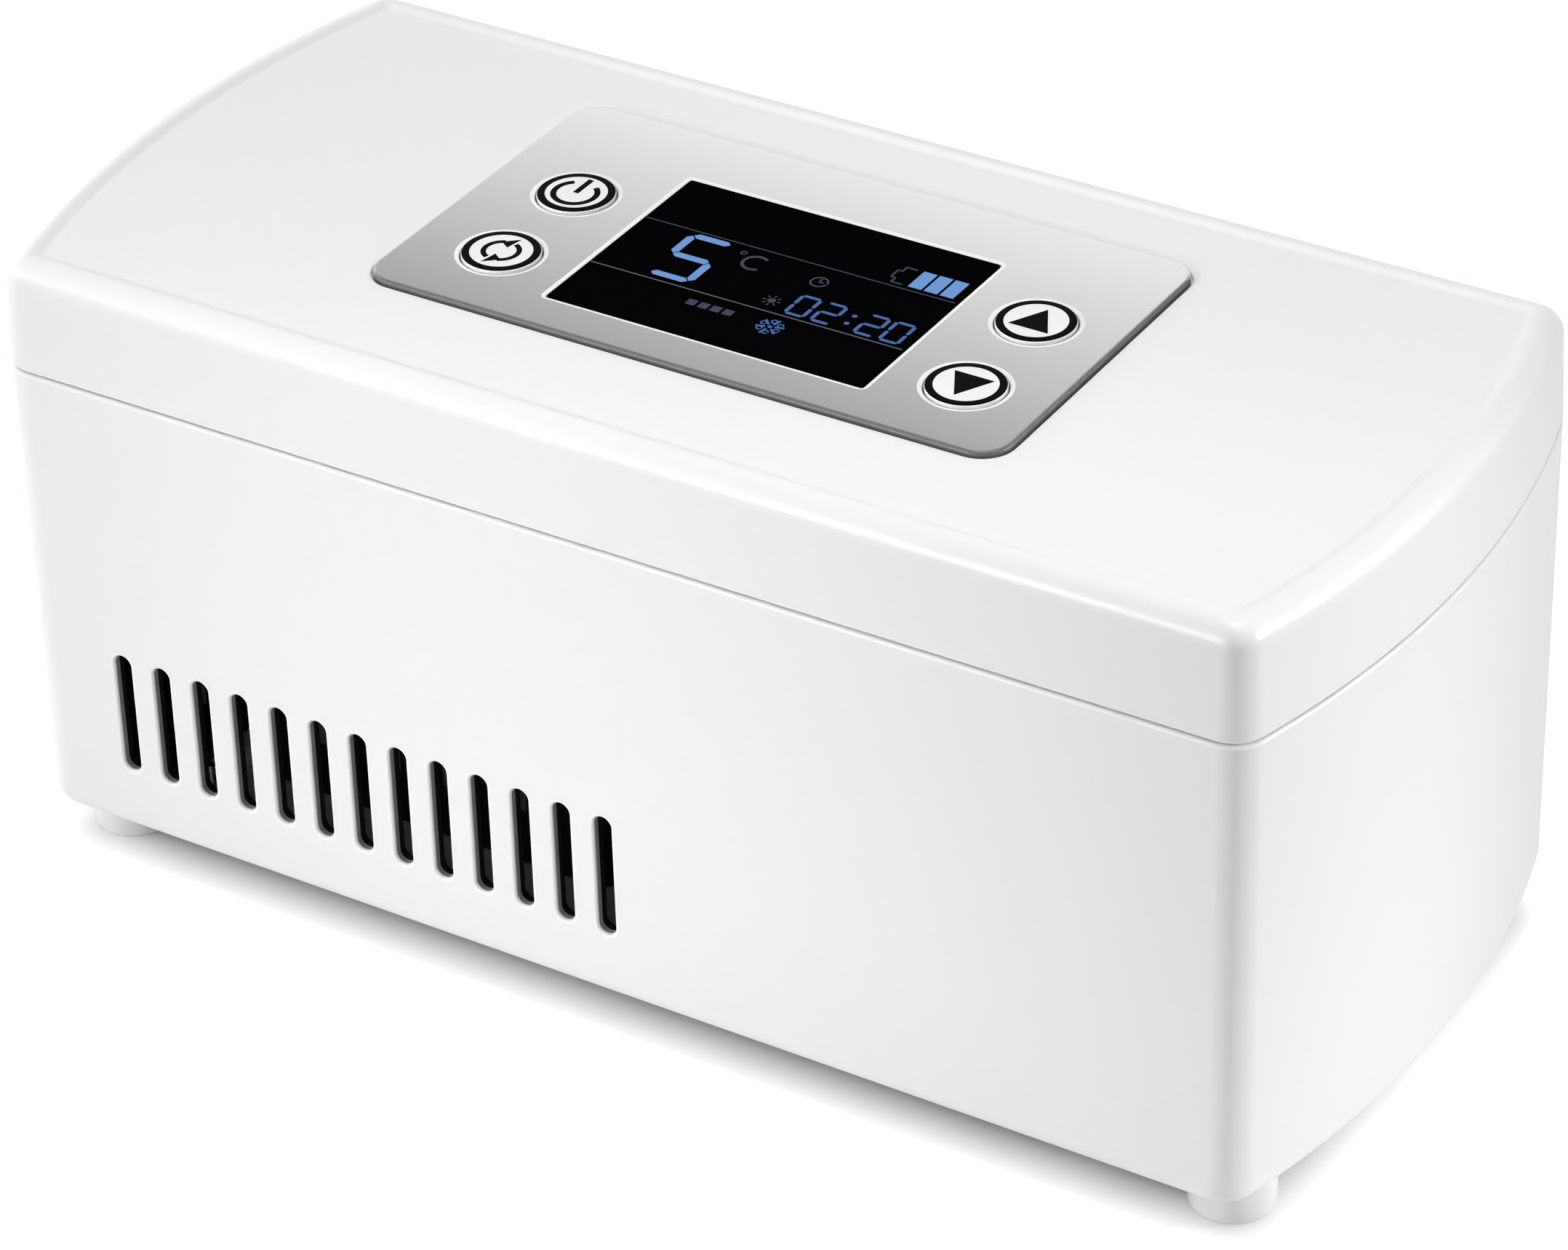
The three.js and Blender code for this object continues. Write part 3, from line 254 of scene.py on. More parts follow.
black_plastic = surface("black_plastic", (0.01, 0.01, 0.011), 0.5, 1600, 0.012, tint=0.1,
                        Specular_IOR_Level=0.25)
cell_wrap = surface("cell_wrap", (0.03, 0.12, 0.32), 0.32, 350, 0.01, tint=0.05, Coat_Weight=0.4,
                    Coat_Roughness=0.1)
circuit_board = surface("circuit_board", (0.012, 0.09, 0.04), 0.42, 700, 0.02, tint=0.12)
lcd_frame = surface("lcd_frame", (0.08, 0.09, 0.1), 0.35, 900, 0.005, 0.4)
satin_silver = surface("satin_silver", (0.8, 0.8, 0.805), 0.36, 2600, 0.0015, 0.5, tint=0.01, spread=0.04,
                       stretch=(0.03, 1, 1))
panel_edge = surface("panel_edge", (0.8, 0.81, 0.82), 0.45, 900, 0.001, 0.3, tint=0.01)
display_black = surface("display_black", (0.0015, 0.0015, 0.002), 0.06, 150, 0.001, tint=0.1, spread=0.01,
                        Specular_IOR_Level=0.0)
button_white = surface("button_white", (0.9, 0.9, 0.9), 0.28, 900, 0.003, tint=0.006)
black_ink = surface("black_ink", (0.003, 0.003, 0.003), 0.45, 1800, 0.004, Specular_IOR_Level=0.01)
seal_rubber = surface("seal_rubber", (0.12, 0.125, 0.13), 0.7, 1500, 0.02, tint=0.08)
magnet_nickel = surface("magnet_nickel", (0.62, 0.61, 0.58), 0.2, 700, 0.003, 1.0)
steel = surface("steel", (0.55, 0.56, 0.57), 0.26, 1100, 0.004, 1.0, spread=0.06)
blue_glow = glowing("blue_glow", (0.14, 0.3, 0.63))
clock_glow = glowing("clock_glow", (0.05, 0.13, 0.35))
line_glow = glowing("line_glow", (0.085, 0.095, 0.115))
dim_glow = glowing("dim_glow", (0.035, 0.045, 0.075))

# The panel's painted shade at its front, as it darkens from the rear, and the painted shade of its edge where
# the edge faces the front and the right
PANEL_SHADE, EDGE_SHADE = (0.34, 0.34, 0.345), (0.12, 0.12, 0.125)
BACKWARDS, FRONT_RIGHT, EDGE_SHADE_FULL = (0, 1, 0), (0.6, -0.8, 0), 0.35

# Painted shade: the panel and its edge grow darker from the rear to the front.
for panel_finish in (satin_silver, panel_edge):
    shaded(panel_finish, "Object", BACKWARDS, panel_high.y * MM, panel_low.y * MM, PANEL_SHADE)
# Painted shade: the edge turns dark where it faces the front and the right.
shaded(panel_edge, "Normal", FRONT_RIGHT, 0.0, EDGE_SHADE_FULL, EDGE_SHADE)


# Shapes
def make(name, points, faces, *materials):
    """A closed mesh from points in millimetres, with its faces turned outwards."""
    mesh = bpy.data.meshes.new(name)
    mesh.from_pydata([tuple(c * MM for c in point) for point in points], [], faces)
    for material in materials:
        mesh.materials.append(material)
    work = bmesh.new()
    work.from_mesh(mesh)
    bmesh.ops.recalc_face_normals(work, faces=work.faces)
    work.to_mesh(mesh)
    work.free()
    made = bpy.data.objects.new(name, mesh)
    scene.collection.objects.link(made)
    return made


def arc(x, y, radius, start, end, steps):
    angles = [start + (end - start) * i / steps for i in range(steps + 1)]
    return [(x + radius * cos(a), y + radius * sin(a)) for a in angles]


def case_outline(inset):
    half = WIDTH / 2 - inset
    end_radius = (BULGE ** 2 + (WIDTH / 2) ** 2) / (2 * BULGE)
    end_x = LENGTH / 2 - end_radius
    radius = max(CORNER - inset, 1.5)
    reach = end_radius - inset - radius
    corner_y = half - radius
    corner_x = end_x + sqrt(reach ** 2 - corner_y ** 2)
    turn = atan2(corner_y, corner_x - end_x)
    quarter = arc(end_x, 0, end_radius - inset, 0, turn, END_STEPS)[:-1]
    quarter += arc(corner_x, corner_y, radius, turn, pi / 2, CORNER_STEPS)
    flat = [(corner_x * (1 - 2 * i / FLAT_STEPS), half) for i in range(1, FLAT_STEPS)]
    upper = quarter + flat + [(-x, y) for x, y in reversed(quarter)]
    return upper + [(x, -y) for x, y in reversed(upper[1:-1])]


def clipped_outline(inset, rail=0.0):
    """The case's outline, drawn in and cut off at the hinge rail."""
    return [(x, min(y, RAIL_Y - rail)) for x, y in case_outline(inset)]


def rounded(length, width, corner, x=0.0, y=0.0, steps=CORNER_STEPS):
    def outline(inset):
        a, b, r = length / 2 - inset, width / 2 - inset, max(corner - inset, 0.05)
        turns = ((a - r, b - r), (r - a, b - r), (r - a, r - b), (a - r, r - b))
        return [
            point for quarter, (u, v) in enumerate(turns)
            for point in arc(x + u, y + v, r, quarter * pi / 2, (quarter + 1) * pi / 2, steps)
        ]
    return outline


def circle(radius, place=Vector(), steps=ROUND_STEPS):
    return lambda inset: arc(place.x, place.y, radius - inset, 0, 2 * pi, steps)[:-1]


def upright(x, y, z):
    return x, y, z


def along_x(x, y, z):
    """Turns a loft's height into a place along X."""
    return lambda u, v, w: (x + w, y + u, z + v)


def along_y(x, y, z):
    """Turns a loft's height into a place along Y."""
    return lambda u, v, w: (x + u, y + w, z + v)


def loft(name, outline, levels, *materials, closed=False, place=upright, finish=None):
    """Joins the outline at each (inset, height). finish(level) gives the material's number of a band."""
    rings = [outline(inset) for inset, _ in levels]
    count = len(rings[0])
    points = [place(x, y, z) for ring, (_, z) in zip(rings, levels) for x, y in ring]
    faces = []
    for level in range(len(levels) if closed else len(levels) - 1):
        a, b = level * count, (level + 1) % len(levels) * count
        faces += [(a + i, a + (i + 1) % count, b + (i + 1) % count, b + i) for i in range(count)]
    if not closed:
        faces += [tuple(range(count)), tuple(range(len(points) - count, len(points)))]
    made = make(name, points, faces, *materials)
    if finish:
        for face in made.data.polygons:
            face.material_index = finish(min(face.index // count, len(levels) - 1))
    return made


def bend(inset, height, radius, start, end, steps=5):
    """Part of a round edge in a profile, as (inset, height), about its centre."""
    return [
        (inset - radius * cos(a), height + radius * sin(a))
        for a in (radians(start + (end - start) * i / steps) for i in range(steps + 1))
    ]


def lower_edge(low, radius, steps, inset=0):
    return bend(inset + radius, low + radius, radius, -90, 0, steps)


def upper_edge(high, radius, steps, inset=0):
    return bend(inset + radius, high - radius, radius, 0, 90, steps)


def flare(top, radius, steps=5):
    """The upper end of a cutter, rounded out to the face that it leaves, as (inset, height)."""
    return bend(-radius, top - radius, radius, 180, 90, steps)


def funnel(low, bevel):
    """The lower end of a cutter that bevels the face it starts from."""
    return [(-bevel, low - OVERRUN), (-bevel, low), (0, low + bevel)]


def countersink(top, out, down):
    """The upper end of a cutter that opens out by the given measures at the face it leaves."""
    return [(0, top - down), (-out, top), (-out, top + OVERRUN)]


def drill(place, radius, low, high, steps=24):
    """A round upright cutter between two heights."""
    return loft("hole", circle(radius, place, steps), [(0, low), (0, high)])


def slab_levels(low, high, edge, steps=4):
    """A plate's profile with round lower and upper edges."""
    return lower_edge(low, edge, steps) + upper_edge(high, edge, steps)


def block(name, x0, x1, y0, y1, z0, z1, *materials, edge=0.0):
    """A block with its upright corners and its rims rounded by the edge."""
    if edge:
        outline = rounded(x1 - x0, y1 - y0, edge, (x0 + x1) / 2, (y0 + y1) / 2, 3)
        return loft(name, outline, slab_levels(z0, z1, edge, 3), *materials)
    points = [(x, y, z) for z in (z0, z1) for y in (y0, y1) for x in (x0, x1)]
    faces = [(0, 1, 3, 2), (4, 5, 7, 6), (0, 1, 5, 4), (2, 3, 7, 6), (0, 2, 6, 4), (1, 3, 7, 5)]
    return make(name, points, faces, *materials)


def cross(place, long, wide, z0, z1):
    """The two arms of a cross about a place, each from its middle to its end and its side."""
    return [block("arm", place.x - u, place.x + u, place.y - v, place.y + v, z0, z1)
            for u, v in ((long, wide), (wide, long))]


def rod_x(name, radius, x0, x1, y, z, *materials, edge=0.0, steps=32):
    levels = slab_levels(x0, x1, edge, 3) if edge else [(0, x0), (0, x1)]
    return loft(name, circle(radius, steps=steps), levels, *materials, place=along_x(0, y, z))


def merged(*parts):
    """One object from several that don't touch."""
    with bpy.context.temp_override(active_object=parts[0], selected_editable_objects=list(parts)):
        bpy.ops.object.join()
    return parts[0]


def combined(target, operation, tool):
    """Cuts or adds a tool. The faces of a tool without a material get the target's first one."""
    step = target.modifiers.new("combine", "BOOLEAN")
    step.operation, step.solver, step.object, step.material_mode = operation, "EXACT", tool, "TRANSFER"
    bpy.context.view_layer.update()
    view = bpy.context.evaluated_depsgraph_get()
    mesh = bpy.data.meshes.new_from_object(target.evaluated_get(view))
    target.modifiers.clear()
    target.data = mesh
    bpy.data.objects.remove(tool)


def cut(target, tool):
    combined(target, "DIFFERENCE", tool)


def joined(target, tool):
    combined(target, "UNION", tool)


def carve(target, outline, levels, place=upright):
    cut(target, loft("cutter", outline, levels, place=place))


def extend(target, outline, levels):
    joined(target, loft("form", outline, levels))


# Points closer than this are one, edges shorter than this go, and edges past this angle stay sharp
SAME_POINT, SHORT_EDGE, SHARP_ANGLE = 0.0004, 0.0002, 34


def smoothed(piece):
    piece.data.shade_smooth()
    piece.data.set_sharp_from_angle(angle=radians(SHARP_ANGLE))


def dressed(piece, body, slot, *stands_for):
    """Smooths a piece between its edges, and hangs it on its body in place of the CAD nodes."""
    work = bmesh.new()
    work.from_mesh(piece.data)
    bmesh.ops.remove_doubles(work, verts=work.verts, dist=SAME_POINT * MM)
    bmesh.ops.dissolve_degenerate(work, edges=work.edges, dist=SHORT_EDGE * MM)
    work.to_mesh(piece.data)
    work.free()
    smoothed(piece)
    weighted = piece.modifiers.new("weighted", "WEIGHTED_NORMAL")
    weighted.keep_sharp = True
    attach(piece, body)
    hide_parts(*stands_for)


# Hinge forms that the case and the lid share
def groove(side, edge):
    """The cut for the hinge, which runs along the whole rear."""
    past, half = REAR + OVERRUN, LENGTH / 2 + OVERRUN
    drop = (past - HINGE_Y) * tan(radians(GROOVE_SLOPE))
    profile = [(HINGE_Y, edge), (HINGE_Y, SEAM - side), (past, SEAM - side), (past, edge + side * drop)]
    points = [(x, y, z) for x in (-half, half) for y, z in profile]
    faces = [(0, 1, 2, 3), (4, 5, 6, 7), *[(i, (i + 1) % 4, 4 + (i + 1) % 4, 4 + i) for i in range(4)]]
    return make("groove", points, faces)


def rods(places, radius, half):
    return merged(*[rod_x("rod", radius, x - half, x + half, HINGE_Y, SEAM) for x in places])


def add_hinge(part, side, edge, own, other, web_low, web_high):
    """Cuts the groove and gives a part its knuckles. The side is 1 above the seam and -1 below it."""
    half = KNUCKLE_LENGTH / 2
    cut(part, groove(side, edge))
    joined(part, rods(own, KNUCKLE, half))
    joined(part, merged(*[
        block("web", x - half, x + half, RAIL_Y, WEB_Y, web_low, web_high) for x in own]))
    cut(part, rods(other, KNUCKLE + RUN_GAP, half + RUN_GAP))
    cut(part, rods(HINGE_SETS, PIN_BORE, KNUCKLE_STEP + half + OVERRUN))


# Case
def vent_cutters(place):
    """The slots of one wall: levels run outwards from the wall's inner side to its face. Their walls are
    painted shade, black deep in and grey near the face, and their flared rims a painted highlight.
    """
    outline = rounded(VENT_WIDTH, VENT_HEIGHT, VENT_WIDTH / 2, steps=8)
    levels = [(0, -WALL - OVERRUN), (0, -VENT_FLARE - VENT_SHADE)]
    levels += [*flare(0, VENT_FLARE), (-VENT_FLARE, OVERRUN)]
    return merged(*[
        loft("vent", outline, levels, shade_black, half_shade_grey, highlight_white, finish=lambda level: min(level, 2),
             place=lambda u, v, w, x=VENT_START + i * VENT_PITCH: place(x + u, v + VENT_MIDDLE, w))
        for i in range(VENT_COUNT)
    ])


def cut_base_opening(shell):
    """Cuts the opening for the base plate, with the ledge that the plate seats against."""
    low, high, _ = box("base_plate")
    size, ledge = high - low, BASE + PLATE_STEP + FIT
    outline = rounded(size.x + 2 * FIT, size.y + 2 * FIT, PLATE_CORNER + FIT)
    carve(shell, outline, [
        *funnel(BASE, FIT), (0, ledge), (PLATE_LEDGE, ledge), (PLATE_LEDGE, FLOOR_TOP + 2 * OVERRUN)])


def cut_inlet_hole(shell):
    x, _, z = middle("power_inlet")
    levels = [(0, REAR - INLET_REACH), *flare(REAR, INLET_FLARE, 4), (-INLET_FLARE, REAR + OVERRUN)]
    carve(shell, circle(JACK_RADIUS + FIT, steps=48), levels, along_y(x, 0, z))


def make_case_shell():
    edge, lip = lower_edge(BASE, EDGE, 8), upper_edge(BODY_TOP, LIP, 4)
    lip_bands = range(len(edge), len(edge + lip) - 1)
    # The seam's lip takes the whiter white of a painted highlight.
    shell = loft("case_shell_body", case_outline, edge + lip, white_shell, shade_black, half_shade_grey, highlight_white,
                 finish=lambda level: 3 if level in lip_bands else 0)
    # The case's inside is painted black where there is only shade: painted shade.
    cut(shell, loft("hollow", case_outline, [
        (WALL + HOLLOW_EDGE, FLOOR_TOP), (WALL, FLOOR_TOP + HOLLOW_EDGE), (WALL, RAIL_FOOT),
    ], white_shell, shade_black, finish=lambda level: 1))
    carve(shell, clipped_outline, [(WALL, RAIL_FOOT - RAIL_OVERLAP), (WALL, BODY_TOP + OVERRUN)])
    add_hinge(shell, -1, BODY_TOP, CASE_KNUCKLES, HINGE_SETS, SEAM - WEB_DROP, SEAM)
    cut(shell, vent_cutters(lambda x, z, w: (x, -REAR - w, z)))
    cut(shell, vent_cutters(lambda x, z, w: (x, REAR + w, z)))
    cut_base_opening(shell)
    cut_inlet_hole(shell)
    dressed(shell, "case", "white_shell", "case_shell")


# Grille of the fan's intake: its reach, half its spine, and the slots' pitch, width, bevel and rows a side
GRILLE_REACH, GRILLE_SPINE = 27.1, 1.5
GRILLE_PITCH, GRILLE_WIDTH, GRILLE_BEVEL, GRILLE_ROWS = 6.0, 3.0, 0.5, 4


def grille_slots(low, high):
    """The slots of the fan's intake, each in two halves beside the spine."""
    hub = middle("fan_rotor")
    slots = []
    for row in range(-GRILLE_ROWS, GRILLE_ROWS + 1):
        away = row * GRILLE_PITCH
        half = sqrt(GRILLE_REACH ** 2 - away ** 2)
        for side in (-1, 1):
            outline = rounded(GRILLE_WIDTH, half - GRILLE_SPINE, GRILLE_WIDTH / 2 - 0.01,
                              hub.x + away, side * (half + GRILLE_SPINE) / 2, 6)
            slots.append(loft("slot", outline, [*funnel(low, GRILLE_BEVEL), (0, high + OVERRUN)]))
    return merged(*slots)


def make_base_plate():
    low, high, _ = box("base_plate")
    size, step, below, above = high - low, low.z + PLATE_STEP, low.z - OVERRUN, high.z + OVERRUN
    outline = rounded(size.x, size.y, PLATE_CORNER)
    levels = lower_edge(low.z, PLATE_EDGE, 4)
    levels += [(0, step), (PLATE_LEDGE, step), (PLATE_LEDGE, high.z)]
    plate = loft("base_plate_cover", outline, levels, white_shell)
    cut(plate, grille_slots(low.z, high.z))
    holes = [middle(f"{kind}_screw_{corner}") for kind in ("base", "fan") for corner in CORNERS]
    cut(plate, merged(*[drill(place, SCREW_HOLE, below, above) for place in holes]))
    wells = [middle(f"base_screw_{corner}") for corner in CORNERS]
    cut(plate, merged(*[drill(place, SCREW_WELL, step, above, 40) for place in wells]))
    dressed(plate, "case", "white_shell", "base_plate")


# Screws: the head and its dome, the shank, the thread and the cross recess
SCREW_HEAD, SCREW_SHANK, SCREW_POINT, HEAD_HEIGHT = 2.6, 1.25, 0.7, 1.0
SCREW_DOME = ((1.0, 0), (0.55, 0.08), (0.2, 0.3), (0, 0.65), (0, 0.9), (0.1, HEAD_HEIGHT))
THREAD, THREAD_DEPTH, PLAIN_STRETCH, TIP_STRETCH = 0.5, 0.22, 0.6, 0.5
CROSS_ARM, CROSS_HALF, CROSS_DEPTH = 1.45, 0.33, 0.55


def make_screw(name, body):
    """A pan head screw with a cross recess, pointing up."""
    low, high, place = box(name)
    neck, tip = SCREW_HEAD - SCREW_SHANK, high.z - TIP_STRETCH
    levels = [(inset, low.z + rise) for inset, rise in SCREW_DOME] + [(neck, low.z + HEAD_HEIGHT)]
    turns = int((high.z - low.z - (HEAD_HEIGHT + PLAIN_STRETCH)) / THREAD)
    for turn in range(turns):
        start = tip - (turns - turn) * THREAD
        levels += [(neck + THREAD_DEPTH, start), (neck, start + THREAD / 2)]
    levels += [(neck + THREAD_DEPTH, tip), (SCREW_HEAD - SCREW_POINT, high.z)]
    piece = loft(f"{name}_head", circle(SCREW_HEAD, place, 40), levels, steel)
    for arm in cross(place, CROSS_ARM, CROSS_HALF, low.z - OVERRUN, low.z + CROSS_DEPTH):
        cut(piece, arm)
    dressed(piece, body, "steel", name)


# Feet: the lower and upper edges, the dished underside and the neck
FOOT_EDGE, FOOT_SHOULDER, FOOT_NECK, FOOT_DISH = 0.7, 0.5, 2.0, ((2.2, 0.25), (1.7, 0))


def make_foot(corner):
    name = f"foot_{corner}"
    low, high, place = box(name)
    radius, top = (high.x - low.x) / 2, BASE - FIT
    levels = [(inset, low.z + rise) for inset, rise in FOOT_DISH]
    levels += lower_edge(low.z, FOOT_EDGE, 6) + upper_edge(top, FOOT_SHOULDER, 4)
    levels += [(radius - FOOT_NECK, top), (radius - FOOT_NECK, high.z)]
    foot = loft(f"{name}_disc", circle(radius, place, 96), levels, pale_foot)
    dressed(foot, "case", "pale_foot", name)


# Power inlet: the jack from its tail to its face, the socket, the block behind it and the pin
JACK_TAIL, JACK_NOSE, JACK_STEP, JACK_EDGE, JACK_BORE = -11, -3, 0.9, 0.25, 9.0
JACK_MOUTH = ((0.35, 0), (0.6, -0.25))
INLET_BACK, INLET_EDGE, INLET_ROOM, INLET_ROOM_END = 2.5, 0.4, 2.4, 5
PIN_RADIUS, PIN_ROOT, PIN_END = 0.9, 0.4, ((0, -0.9), (0.15, -0.6), (0.5, -0.45))


def make_power_inlet():
    low, high, _ = box("power_inlet")
    seat = along_y((low.x + high.x) / 2, high.y, (low.z + high.z) / 2)
    levels = [(-JACK_STEP, JACK_TAIL), (-JACK_STEP, JACK_NOSE), (0, JACK_NOSE)]
    levels += [*upper_edge(0, JACK_EDGE, 4), *JACK_MOUTH, (JACK_MOUTH[-1][0], -JACK_BORE)]
    jack = loft("power_inlet_jack", circle(JACK_RADIUS, steps=48), levels, black_plastic, place=seat)
    back = block("power_inlet_back", low.x, high.x, low.y, high.y - INLET_BACK, low.z, high.z, black_plastic,
                 edge=INLET_EDGE)
    carve(back, circle(INLET_ROOM, steps=32), [(0, -JACK_BORE), (0, INLET_ROOM_END)], seat)
    pin = loft("power_inlet_pin", circle(PIN_RADIUS, steps=24), [(0, -JACK_BORE - PIN_ROOT), *PIN_END],
               steel, place=seat)
    dressed(jack, "case", "black_plastic", "power_inlet")
    for piece in (back, pin):
        smoothed(piece)
        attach(piece, "case")


def make_hinge_pin(side):
    name = f"hinge_pin_{side}"
    low, high, place = box(name)
    pin = rod_x(f"{name}_rod", PIN_THICK / 2, low.x, high.x, place.y, place.z, steel, edge=PIN_EDGE)
    dressed(pin, "case", "steel", name)


def make_magnet(name, body):
    low, high, place = box(name)
    levels = slab_levels(low.z, high.z, MAGNET_EDGE)
    magnet = loft(f"{name}_disc", circle(MAGNET_RADIUS, place), levels, magnet_nickel)
    dressed(magnet, body, "magnet_nickel", name)


def cut_magnet_seats(piece, kind, levels):
    for side in SIDES:
        carve(piece, circle(MAGNET_RADIUS + FIT, middle(f"{kind}_magnet_{side}")), levels)


def cut_screw_holes(piece, kind, low, high):
    for corner in CORNERS:
        cut(piece, drill(middle(f"{kind}_screw_{corner}"), SCREW_HOLE, low - OVERRUN, high + OVERRUN))


# Chamber
CHAMBER_OUTLINE = rounded(CHAMBER_LENGTH, CHAMBER_WIDTH, CHAMBER_CORNER)
DECK_EDGE, DECK_FLARE = 0.3, 0.6


def make_deck_bezel():
    low, high, _ = box("deck_bezel")
    levels = [(0, low.z), *upper_edge(high.z, DECK_EDGE, 3)]
    deck = loft("deck_bezel_plate", lambda more: clipped_outline(WALL + FIT + more, FIT), levels, white_liner)
    carve(deck, CHAMBER_OUTLINE, [
        (0, low.z - OVERRUN), *flare(high.z, DECK_FLARE), (-DECK_FLARE, high.z + OVERRUN)])
    cut_magnet_seats(deck, "case", [
        (0, high.z - MAGNET_DEPTH), *countersink(high.z, MAGNET_BEVEL, MAGNET_BEVEL)])
    dressed(deck, "case", "white_liner", "deck_bezel")


# Chamber liner: its sheet, the flange round its mouth, and the coves outside and inside
LINER, LINER_FLANGE, LINER_BEVEL, OUTER_COVE, INNER_COVE = 1.0, 5.0, 0.1, 2.0, 4.0
LINER_MOUTH = ((-0.5, 0), (-0.15, -0.15), (0, -0.5))


def make_chamber_liner():
    low, high, _ = box("chamber_liner")
    top, floor, reach = high.z, low.z + LINER, -LINER_FLANGE
    levels = lower_edge(low.z, OUTER_COVE, 4, -LINER)
    levels += [(-LINER, top - LINER), (reach + LINER_BEVEL, top - LINER), (reach, top - LINER + LINER_BEVEL)]
    levels += [(reach, top - LINER_BEVEL), (reach + LINER_BEVEL, top)]
    levels += [(inset, top + rise) for inset, rise in LINER_MOUTH]
    levels += bend(INNER_COVE, floor + INNER_COVE, INNER_COVE, 0, -90, 8)
    tub = loft("chamber_liner_tub", CHAMBER_OUTLINE, levels, drawn_aluminium)
    dressed(tub, "case", "drawn_aluminium", "chamber_liner")


# Lid
WALL_SHARES, RIM_SHARES, POCKET_BEVEL = (0.35, 0.7), (0.15, 0.3, 0.45, 0.6, 0.75, 0.9, 1.0), 0.15


def panel_openings():
    """The outlines of the openings for the display and the buttons."""
    size = (WINDOW_SIZE.x + WINDOW_GAP, WINDOW_SIZE.y + WINDOW_GAP)
    window = rounded(*size, WINDOW_GAP, window_middle.x, window_middle.y, 3)
    return [window] + [circle(BUTTON_HOLE, middle(f"button_{use}")) for use in USES]


def make_lid_cover():
    roll, foot = CREST - ROLL, LID_BOTTOM + LIP
    lip = lower_edge(LID_BOTTOM, LIP, 4)
    levels = lip + [(LEAN * share, foot + (roll - foot) * share) for share in WALL_SHARES]
    levels += upper_edge(CREST, ROLL, 12, LEAN)
    levels += [
        (LEAN + ROLL + RIM_RUN * share, CREST - RIM_DROP * (1 - cos(pi * share)) / 2) for share in RIM_SHARES
    ]
    # The lid's lower lip takes the whiter white of a painted highlight.
    cover = loft("lid_cover_shell", case_outline, levels, white_shell, highlight_white,
                 finish=lambda level: int(level < len(lip) - 1))
    overlap = RAIL_TOP - RAIL_OVERLAP
    lean = [LEAN * (z - LID_BOTTOM) / (roll - LID_BOTTOM) for z in (RAIL_TOP, overlap)]
    carve(cover, clipped_outline, [
        (LID_WALL, LID_BOTTOM - OVERRUN), (LID_WALL, LID_BOTTOM), (LID_WALL + lean[0], RAIL_TOP)])
    carve(cover, case_outline, [
        (LID_WALL + lean[1], overlap), (LID_WALL + LEAN, roll), (LID_WALL + LEAN + SHOULDER, SKIN)])
    add_hinge(cover, 1, LID_BOTTOM, HINGE_SETS, CASE_KNUCKLES, SEAM, RAIL_TOP)
    size = panel_high - panel_low
    pocket = rounded(size.x + 2 * FIT, size.y + 2 * FIT, PANEL_CORNER + FIT, panel_middle.x, panel_middle.y)
    carve(cover, pocket, [(0, PANEL_Z - FIT), *countersink(LID_FACE, POCKET_BEVEL, POCKET_BEVEL)])
    holes = [(0, SKIN - OVERRUN), (0, PANEL_Z)]
    cut(cover, merged(*[loft("hole", opening, holes) for opening in panel_openings()]))
    dressed(cover, "lid", "white_shell", "lid_cover")


def make_control_panel():
    size = panel_high - panel_low
    outline = rounded(size.x, size.y, PANEL_CORNER, panel_middle.x, panel_middle.y)
    levels = [(PANEL_BEVEL, PANEL_Z), (0, PANEL_Z + PANEL_BEVEL)]
    levels += upper_edge(PANEL_TOP, PANEL_EDGE, 6)
    panel = loft("control_panel_plate", outline, levels, satin_silver, panel_edge, highlight_white,
                 finish=lambda level: int(level < len(levels) - 1))
    holes = [(0, PANEL_Z - OVERRUN), *countersink(PANEL_TOP, OPENING_RIM, OPENING_SLOPE)]
    # The rims of the openings take the whiter white of a painted highlight.
    cut(panel, merged(*[
        loft("hole", opening, holes, satin_silver, panel_edge, highlight_white, finish=lambda level: 2)
        for opening in panel_openings()
    ]))
    dressed(panel, "lid", "satin_silver", "control_panel")


# Lid liner: the plug's gap to the chamber, its wall, edge, foot and root, the sheet's edge, the plug's dish
PLUG_GAP, PLUG_WALL, PLUG_EDGE, PLUG_FOOT, PLUG_ROOT, SHEET_EDGE = 2.0, 1.5, 1.0, 0.3, 0.5, 0.3
PLUG_DISH = ((2.0, 0.6), (1.2, 0.45), (0.6, 0))


def make_lid_liner():
    low, high, _ = box("lid_liner")
    sheet_z = box("lid_magnet_left")[0].z
    inset = LID_WALL + LEAN * (high.z - LID_BOTTOM) / (CREST - ROLL - LID_BOTTOM) + FIT
    sheet = loft("lid_liner_sheet", lambda more: clipped_outline(inset + more, FIT),
                 [(SHEET_EDGE, sheet_z), (0, sheet_z + SHEET_EDGE), (0, high.z)], white_liner)
    levels = [(PLUG_GAP + more, low.z + rise) for more, rise in PLUG_DISH]
    levels += lower_edge(low.z, PLUG_EDGE, 5, PLUG_GAP)
    root = PLUG_GAP - PLUG_FOOT
    levels += [(PLUG_GAP, sheet_z - PLUG_FOOT), (root, sheet_z), (root, sheet_z + PLUG_ROOT)]
    extend(sheet, CHAMBER_OUTLINE, levels)
    hollow = PLUG_GAP + PLUG_WALL
    carve(sheet, CHAMBER_OUTLINE, [(hollow, low.z + PLUG_WALL), (hollow, high.z + OVERRUN)])
    cut_magnet_seats(sheet, "lid", [*funnel(sheet_z, MAGNET_BEVEL), (0, sheet_z + MAGNET_DEPTH)])
    cut_screw_holes(sheet, "lid", sheet_z, high.z)
    dressed(sheet, "lid", "white_liner", "lid_liner")


# Gasket: its round edge, and its inner and outer reach from the chamber's outline
GASKET_EDGE, GASKET_INNER, GASKET_OUTER = 0.45, -1.0, -4.0


